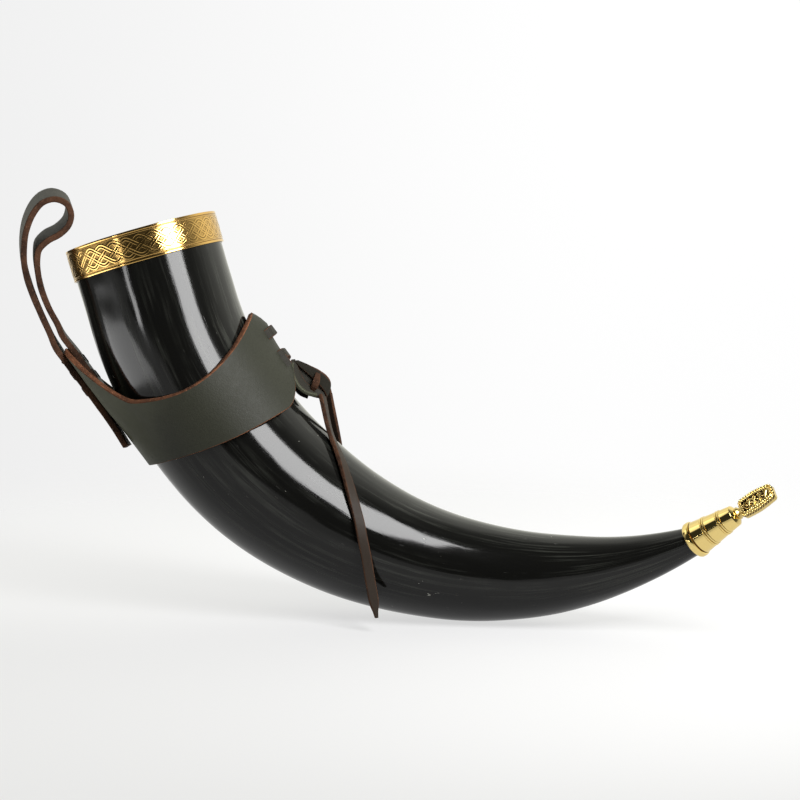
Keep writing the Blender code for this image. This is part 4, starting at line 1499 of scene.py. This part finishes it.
    def add_curl(self, bm, centre, side):
        """A spiral that tightens towards its centre."""
        points = []
        for i in range(26):
            share = i / 25
            angle = 0.4 + side * share * 8.5
            reach = 0.0008 * (1 - 0.82 * share)
            place = Vector((reach * math.cos(angle), 0.0002 * share, reach * math.sin(angle)))
            points.append(centre + place)
        self.add_wire(bm, points, 0.00036, 0.00026)

    def add_wire(self, bm, points, start, end):
        part = new_bmesh("recess")
        radii = [start + (end - start) * i / (len(points) - 1) for i in range(len(points))]
        stations, lengths = tube_stations(points, radii)
        sweep(part, round_section(part, 8, 1), stations, lengths)
        mark_depth(part, self.rise - 0.0009, self.rise - 0.0004)
        join(bm, part)


class DRINKINGHORN_OT_collar(bpy.types.Operator):
    """Wrap the collar round the horn from a flat grid, and give the leather its thickness"""

    bl_idname = "drinking_horn.collar"
    bl_label = "Collar"

    columns = 260
    rows = (0.0, 0.02, 0.06, 0.14, 0.24, 0.34, 0.44, 0.54, 0.64, 0.74, 0.84, 0.92, 0.97, 1.0)

    def execute(self, context):
        leather = context.scene.horn_leather
        # The collar's olive is painted paler at its far left, painted light on that side.
        face = leather_face("collar_leather", tuple(leather.olive), 0.46, painted_light_from=-0.095)
        edge = leather_cut("collar_cut_edge", tuple(leather.russet))
        bm = new_bmesh("up")
        up = bm.verts.layers.float["up"]
        laid = bm.verts.layers.float_vector["laid"]
        bmesh.ops.create_grid(bm, x_segments=self.columns, y_segments=len(self.rows) - 1, size=1)
        half_turn = math.pi - SEAM_GAP / 2 / SLEEVE
        for vert in bm.verts:
            around = vert.co.x * half_turn
            row = int(round((vert.co.y + 1) / 2 * (len(self.rows) - 1)))
            share = self.rows[row]
            low = collar_bottom(around)
            height = low + (collar_top(around) - low) * share
            vert.co = sleeve_point(around, height, min(2 * share, 1))
            vert.co.x -= self.flare(around, height)
            vert[up] = share
        self.wrinkle(bm)
        for vert in bm.verts:
            vert[laid] = vert.co
        bmesh.ops.recalc_face_normals(bm, faces=bm.faces)
        self.face_out(bm)
        bmesh.ops.solidify(bm, geom=bm.faces[:], thickness=-LEATHER)
        for item in bm.faces:
            middle = item.calc_center_median()
            out = Vector((middle.x, 0, middle.z)).normalized()
            if abs(item.normal.dot(out)) < 0.5:
                item.material_index = 1
        self.skive(bm, up, laid)
        corners = []
        for item in bm.edges:
            kinds = {linked.material_index for linked in item.link_faces}
            if kinds == {0, 1}:
                corners.append(item)
        bmesh.ops.bevel(
            bm, geom=corners, offset=0.0003, segments=2, profile=0.5, affect="EDGES", material=1
        )
        bmesh.ops.transform(bm, matrix=HOLDER, verts=bm.verts)
        collar = add_piece("laced_collar", bm, [face, edge], 50.0)
        settle(collar, "holder", ["collar"])
        return {"FINISHED"}

    @staticmethod
    def flare(around, height):
        """How far the flaps stand out at the front seam, most above the upper crossing."""
        heights = np.array((-0.0150, 0.0040, 0.0140, 0.0200, 0.0266, 0.0310, 0.0360))
        outs = np.array((0.0, 0.0008, 0.0010, 0.0016, 0.0032, 0.0022, 0.0))
        near_seam = smooth_step(math.radians(148.0), math.radians(176.0), abs(around))
        return near_seam * smooth_value(heights, outs, min(max(height, -0.0150), 0.0360))

    @staticmethod
    def skive(bm, up, laid):
        """Cuts the top edge at a slant, so that its raw fibre shows from outside."""
        for face in bm.faces:
            outer = all((vert.co - Vector(vert[laid])).length > LEATHER / 2 for vert in face.verts)
            if outer and max(vert[up] for vert in face.verts) > 0.999:
                face.material_index = 1
        for vert in bm.verts:
            push = vert.co - Vector(vert[laid])
            if vert[up] > 0.999 and push.length > LEATHER / 2:
                vert.co -= push * 0.6

    @staticmethod
    def wrinkle(bm):
        """A little unevenness, as hand-cut leather has."""
        for vert in bm.verts:
            out = Vector((vert.co.x, 0, vert.co.z)).normalized()
            wave = noise.noise(vert.co * 45) * 0.00022 + noise.noise(vert.co * 120) * 0.00006
            vert.co += out * (wave + 0.0001)

    @staticmethod
    def face_out(bm):
        """Turns the sheet's faces away from the horn."""
        face = min(bm.faces, key=lambda item: item.calc_center_median().z)
        if face.normal.z > 0:
            bmesh.ops.reverse_faces(bm, faces=bm.faces[:])


class DRINKINGHORN_OT_belt_strap(bpy.types.Operator):
    """Fold the belt strap from one leg, round its loop, to the other leg"""

    bl_idname = "drinking_horn.belt_strap"
    bl_label = "Belt strap"

    edge_seed = 1

    def execute(self, context):
        leather = context.scene.horn_leather
        face = leather_face("strap_leather", tuple(leather.brown), 0.48, True)
        edge = leather_cut("strap_cut_edge", tuple(leather.chestnut))
        middle = [HINGE + Vector((out, up, 0)) for out, up in LOOP_ROUTE]
        route = [
            Vector((OUTER_LEG + 0.0013, OUTER_LEG_LOW, 0)),
            Vector((OUTER_LEG + 0.0003, OUTER_LEG_LOW + 0.012, 0)),
            Vector((OUTER_LEG, OUTER_LEG_LOW + 0.026, 0)),
            Vector((OUTER_LEG, HINGE.y - 0.018, 0)),
            Vector((OUTER_LEG, HINGE.y - 0.006, 0)),
            HINGE,
            *middle,
            Vector((INNER_LEG, TAB_TOP + LOOP_END_LEAD, 0)),
            Vector((INNER_LEG, TAB_TOP, 0)),
            Vector((INNER_LEG, TAB_TOP - 0.014, 0)),
            Vector((INNER_LEG, INNER_LEG_LOW, 0)),
        ]
        points = smooth_route(route, 0.0016)
        acrosses = []
        for point in points:
            lean = smooth_step(LOOP_LEAN_START, LOOP_LEAN_FULL, point.y - HINGE.y)
            twist = smooth_step(0.0, 0.012, point.y - HINGE.y) * (1 - lean)
            inward = 0.045 * twist - LOOP_LEAN_IN * lean
            upward = 0.12 * twist + LOOP_LEAN * lean
            acrosses.append(Vector((inward, upward, 1)))
        stations, lengths = strip_stations(points, acrosses)
        bm = new_bmesh("cut")
        ring = strip_section(bm, STRAP_WIDTH, STRAP_THICKNESS, 0.00055, 10)
        sweep(bm, ring, [HOLDER @ station for station in stations], lengths)
        mark_cut_faces(bm)
        self.mark_ends(bm)
        self.wander(bm)
        strap = add_piece("folded_strap", bm, [face, edge], 50.0)
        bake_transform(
            strap,
            "holder",
            "belt_loop",
            start=HOLDER @ (HINGE + Vector((0, -0.004, 0))),
            end=HOLDER @ (HINGE + Vector((0, 0.010, 0))),
        )
        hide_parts("strap_outer_leg", "strap_inner_leg", "strap_loop")
        return {"FINISHED"}

    @staticmethod
    def mark_ends(bm):
        for face in bm.faces:
            if len(face.verts) > 4:
                face.material_index = 1

    def wander(self, bm):
        """Slightly uneven cut edges, the same each run."""
        noise.seed_set(self.edge_seed)
        cut = bm.verts.layers.float["cut"]
        for vert in bm.verts:
            push = noise.noise_vector(vert.co * 160) * 0.00012
            vert.co += push * (1.0 if vert[cut] > 0.5 else 0.5)


class DRINKINGHORN_OT_stitching(bpy.types.Operator):
    """Sew the strap's legs to the tab with two rows of waxed thread"""

    bl_idname = "drinking_horn.stitching"
    bl_label = "Stitching"

    def execute(self, context):
        thread = waxed_thread(tuple(context.scene.horn_leather.thread))
        low = INNER_LEG_LOW + STITCH_END_INSET
        high = TAB_TOP - LOOP_SWING_GAP - STITCH_END_INSET
        heights = [float(height) for height in np.linspace(low, high, STITCH_COUNT)]
        aside = STRAP_WIDTH / 2 - STITCH_ROW_INSET
        for name, side in (("strap_thread_near", -aside), ("strap_thread_far", aside)):
            self.add_row(name, side, heights, thread)
        return {"FINISHED"}

    def add_row(self, name, side, heights, thread):
        """A running stitch, rounded over where it enters the leather."""
        over = OUTER_LEG + STRAP_THICKNESS / 2 + 0.00010
        under = INNER_LEG - STRAP_THICKNESS / 2 - 0.00010
        corners = []
        for i, height in enumerate(heights):
            ends = (under, over) if i % 2 == 0 else (over, under)
            corners += [Vector((ends[0], height, side)), Vector((ends[1], height, side))]
        corners.insert(0, corners[0] - Vector((0, 0.0014, 0)))
        corners.append(corners[-1] + Vector((0, 0.0014, 0)))
        points = [HOLDER @ point for point in round_corners(corners, 0.0007)]
        stations, lengths = tube_stations(points, [THREAD_RADIUS] * len(points))
        bm = new_bmesh()
        sweep(bm, round_section(bm, 10, 1), stations, lengths)
        row = add_piece(name + "_row", bm, [thread], 60.0)
        settle(row, "holder", [name])


class DRINKINGHORN_OT_lacing(bpy.types.Operator):
    """Lace the collar's front seam: two crossings, the thong's start and a folded knot"""

    bl_idname = "drinking_horn.lacing"
    bl_label = "Lacing"

    # Folds of the knot: name, look, width, then places from its centre, ways across, shares of the width
    folds = (
        (
            "lace_knot_back",
            "grain",
            0.0066,
            (
                ((0.0030, 0.0110, 0.0010), (0.97, 0.20, 0.00), 0.45),
                ((0.0030, 0.0070, -0.0006), (0.97, 0.20, 0.00), 0.95),
                ((0.0024, 0.0010, -0.0016), (0.97, 0.22, 0.00), 1.35),
                ((0.0008, -0.0045, -0.0016), (0.97, 0.25, 0.00), 1.35),
                ((-0.0008, -0.0090, 0.0000), (0.95, 0.30, 0.00), 0.95),
            ),
        ),
        # The under fold's flesh side is darkened to near black: partly its own colour, partly painted shade,
        # the shadow under the fold.
        (
            "lace_knot_under",
            "shaded_flesh",
            0.0052,
            (
                ((0.0024, 0.0108, 0.0012), (0.85, 0.50, -0.10), 0.45),
                ((0.0052, 0.0064, 0.0006), (0.88, 0.45, -0.15), 0.85),
                ((0.0076, 0.0014, -0.0002), (0.92, 0.30, -0.20), 1.00),
                ((0.0080, -0.0026, -0.0006), (0.92, 0.00, -0.20), 1.00),
                ((0.0064, -0.0060, -0.0004), (0.75, -0.50, -0.15), 0.80),
            ),
        ),
        (
            "lace_knot_inner",
            "grain",
            0.0054,
            (
                ((0.0024, 0.0128, 0.0004), (0.80, 0.45, -0.30), 0.40),
                ((0.0046, 0.0088, -0.0026), (0.78, 0.35, -0.50), 0.80),
                ((0.0060, 0.0040, -0.0046), (0.76, 0.15, -0.62), 1.00),
                ((0.0062, -0.0004, -0.0050), (0.78, -0.05, -0.62), 1.00),
                ((0.0050, -0.0042, -0.0040), (0.74, -0.38, -0.52), 0.95),
                ((0.0024, -0.0080, -0.0022), (0.60, -0.72, -0.30), 0.90),
                ((0.0002, -0.0104, -0.0010), (0.40, -0.90, -0.15), 0.80),
            ),
        ),
        (
            "lace_knot_outer",
            "grain",
            0.0056,
            (
                ((0.0012, 0.0114, -0.0004), (0.85, 0.45, 0.20), 0.40),
                ((-0.0006, 0.0066, -0.0026), (0.90, 0.35, 0.25), 0.85),
                ((-0.0024, 0.0014, -0.0038), (0.93, 0.22, 0.28), 1.05),
                ((-0.0035, -0.0034, -0.0040), (0.96, 0.05, 0.26), 1.10),
                ((-0.0036, -0.0076, -0.0030), (0.95, -0.20, 0.20), 1.05),
                ((-0.0020, -0.0108, -0.0004), (0.85, -0.50, 0.10), 0.85),
            ),
        ),
        (
            "lace_knot_tuck",
            "cut",
            0.0036,
            (
                ((0.0034, -0.0050, -0.0036), (0.40, 0.90, -0.10), 0.75),
                ((0.0014, -0.0040, -0.0056), (0.42, 0.90, -0.05), 1.00),
                ((-0.0010, -0.0024, -0.0060), (0.45, 0.88, 0.05), 1.00),
                ((-0.0030, -0.0006, -0.0050), (0.45, 0.88, 0.15), 0.80),
                ((-0.0040, 0.0006, -0.0030), (0.45, 0.88, 0.15), 0.60),
            ),
        ),
        # The lip's pale leather is painted sheen, the light caught along the curled edge.
        (
            "lace_knot_lip",
            "painted_sheen",
            0.0020,
            (
                ((0.0036, 0.0120, -0.0022), (0.30, 0.20, -0.93), 0.70),
                ((0.0064, 0.0086, -0.0048), (0.40, 0.15, -0.90), 1.00),
                ((0.0080, 0.0038, -0.0068), (0.45, 0.05, -0.89), 1.00),
                ((0.0082, -0.0008, -0.0074), (0.45, -0.05, -0.89), 1.00),
                ((0.0066, -0.0050, -0.0062), (0.40, -0.25, -0.88), 0.90),
                ((0.0036, -0.0084, -0.0040), (0.25, -0.45, -0.85), 0.70),
            ),
        ),
    )

    def execute(self, context):
        leather = context.scene.horn_leather
        face = leather_face("lace_leather", toned(leather.brown, 0.8), 0.58)
        edge = leather_cut("lace_cut_edge", tuple(leather.chestnut))
        names = ("lace_upper_crossing", "lace_lower_crossing")
        for name, height, twist, lower in zip(names, CROSSING_AT, (0.12, -0.16), (0.0, 0.0010)):
            self.add_crossing(name, height - lower, twist, [face, edge])
        self.add_tongue([face, edge])
        # Chestnut at a third for the flesh side: partly its own darker colour, partly painted shade under
        # the knot's fold.
        shaded_flesh = leather_cut("lace_flesh_painted_shade", toned(leather.chestnut, 0.35))
        # Olive made 2.6 times paler for the knot's lip: painted sheen.
        painted_sheen = leather_face("lace_painted_sheen_edge", toned(leather.olive, 2.6), 0.44)
        self.add_knot([face, edge], shaded_flesh, painted_sheen)
        self.add_rear_turn([face, edge])
        return {"FINISHED"}

    @staticmethod
    def on_flap(around_seam, height, out):
        """A place outside the collar, at degrees from its front seam and a height."""
        turned = math.radians(around_seam)
        flare = DRINKINGHORN_OT_collar.flare(math.pi - abs(turned), height)
        way = Vector((-math.cos(turned), 0, math.sin(turned)))
        face = Vector((SEAM_INSIDE * math.cos(turned) - flare, height, SLEEVE * math.sin(turned)))
        return face + way * (LEATHER + out)

    def add_crossing(self, name, height, twist, materials):
        """A bridge over the seam, from a slot in one flap to a slot in the other."""
        thickness = 0.0023
        half_span = 0.012
        route = []
        for around_seam in (-17, -17, -15, -11, -6, 0, 6, 11, 15, 17, 17):
            rise = thickness / 2 + 0.0001 if abs(around_seam) < 16 else -0.0004
            route.append(self.on_flap(around_seam, height, rise))
        for end, beside in ((0, 1), (-1, -2)):
            route[end] = route[beside] + Vector((0.0024, 0, 0))
        points = smooth_route(route, 0.0007)
        acrosses = []
        for point in points:
            share = point.z / half_span
            acrosses.append(Vector((0, math.cos(twist * share), math.sin(twist * share) * 0.6)))
        points = [point + Vector((0, twist * point.z / 2, 0)) for point in points]
        self.add_strip(name + "_thong", points, acrosses, materials, name, 0.0053, thickness)

    def add_tongue(self, materials):
        """The thong's start, out from under the lower crossing on the near flap."""
        drops = (0.0010, 0.0032, 0.0068)
        route = [self.on_flap(-17.0, CROSSING_AT[1] - drop, 0.0006) for drop in drops]
        points = smooth_route(route, 0.0008)
        acrosses = [Vector((0.93, 0, -0.37))] * len(points)
        self.add_strip("lace_tongue", points, acrosses, materials, "lace_lower_crossing", 0.0040, 0.0018)

    def add_strip(self, label, points, acrosses, materials, node, width, thickness):
        stations, lengths = strip_stations(points, acrosses)
        bm = new_bmesh("cut")
        ring = strip_section(bm, width, thickness, LACE_CORNER)
        sweep(bm, ring, [HOLDER @ station for station in stations], lengths)
        mark_cut_faces(bm)
        piece = add_piece(label, bm, materials, 50.0)
        settle(piece, "holder", [node])

    def add_knot(self, materials, shaded_flesh, painted_sheen):
        """The thong folded flat on itself: leaves at both sides, a broad turn behind, a tuck across."""
        looks = {"grain": materials, "cut": [materials[1]] * 2, "shaded_flesh": [shaded_flesh] * 2, "painted_sheen": [painted_sheen] * 2}
        for label, look, width, marks in self.folds:
            self.add_folded(label, marks, width, looks[look])

    def add_rear_turn(self, materials):
        """The turn of thong that brings the rear tail out of the knot, just inside the tail's end."""
        back = HOLDER.inverted()
        place, way = over_horn(*REAR_TAIL_OVER[0])
        first = back @ place
        leave = knot_exit(1, first)
        along = (first - leave).normalized()
        across = along.cross(back.to_3x3() @ way).normalized()
        across.rotate(Matrix.Rotation(REAR_TAIL_TWIST * TAIL_TWIST_AT_KNOT, 3, along))
        route = [knot_centre() + Vector((0.0006, -0.0020, 0.0))]
        route += [leave + along * further for further in (-0.0022, 0.0, 0.0030)]
        points = smooth_route(route, 0.0007)
        acrosses = [across] * len(points)
        within = 0.84
        width = LACE_WIDTH * within
        thickness = LACE_THICKNESS * within
        self.add_strip("lace_knot_rear_turn", points, acrosses, materials, "lace_knot", width, thickness)

    def add_folded(self, label, marks, width, materials):
        route = [knot_centre() + Vector(place) for place, _, _ in marks]
        ways = [Vector(way).normalized() for _, way, _ in marks]
        points = smooth_route(route, 0.0006)
        acrosses = smooth_route_values(route, ways, len(points))
        shares = np.linspace(0, 1, len(points))
        sizes = np.interp(shares, np.linspace(0, 1, len(marks)), [size for _, _, size in marks])
        acrosses = [across * float(size) for across, size in zip(acrosses, sizes)]
        self.add_strip(label, points, acrosses, materials, "lace_knot", width, 0.0019)


class DRINKINGHORN_PT_pieces(bpy.types.Panel):
    """Lists the pieces in the 3D view's sidebar"""

    bl_idname = "DRINKINGHORN_PT_pieces"
    bl_label = "Drinking Horn"
    bl_space_type = "VIEW_3D"
    bl_region_type = "UI"
    bl_category = "Drinking Horn"

    def draw(self, context):
        for operator in OPERATORS:
            self.layout.operator(operator.bl_idname)
        for name in SETTINGS:
            group = getattr(context.scene, name)
            for key in group.__annotations__:
                self.layout.prop(group, key)


SETTINGS = {
    "horn_body": HornSettings,
    "horn_brass": BrassSettings,
    "horn_leather": LeatherSettings,
    "horn_stage": StageSettings,
}

OPERATORS = (
    DRINKINGHORN_OT_stage,
    DRINKINGHORN_OT_lace_tails,
    DRINKINGHORN_OT_horn,
    DRINKINGHORN_OT_rim_band,
    DRINKINGHORN_OT_tip_ferrule,
    DRINKINGHORN_OT_finial,
    DRINKINGHORN_OT_collar,
    DRINKINGHORN_OT_belt_strap,
    DRINKINGHORN_OT_stitching,
    DRINKINGHORN_OT_lacing,
)


def register():
    for name, group in SETTINGS.items():
        bpy.utils.register_class(group)
        setattr(bpy.types.Scene, name, bpy.props.PointerProperty(type=group))
    for operator in OPERATORS:
        bpy.utils.register_class(operator)
    bpy.utils.register_class(DRINKINGHORN_PT_pieces)


def unregister():
    bpy.utils.unregister_class(DRINKINGHORN_PT_pieces)
    for operator in reversed(OPERATORS):
        bpy.utils.unregister_class(operator)
    for name, group in SETTINGS.items():
        delattr(bpy.types.Scene, name)
        bpy.utils.unregister_class(group)


def main():
    register()
    bpy.ops.drinking_horn.stage()
    bpy.ops.drinking_horn.lace_tails()
    bpy.ops.drinking_horn.horn()
    bpy.ops.drinking_horn.rim_band()
    bpy.ops.drinking_horn.tip_ferrule()
    bpy.ops.drinking_horn.finial()
    bpy.ops.drinking_horn.collar()
    bpy.ops.drinking_horn.belt_strap()
    bpy.ops.drinking_horn.stitching()
    bpy.ops.drinking_horn.lacing()


if __name__ == "__main__":
    main()
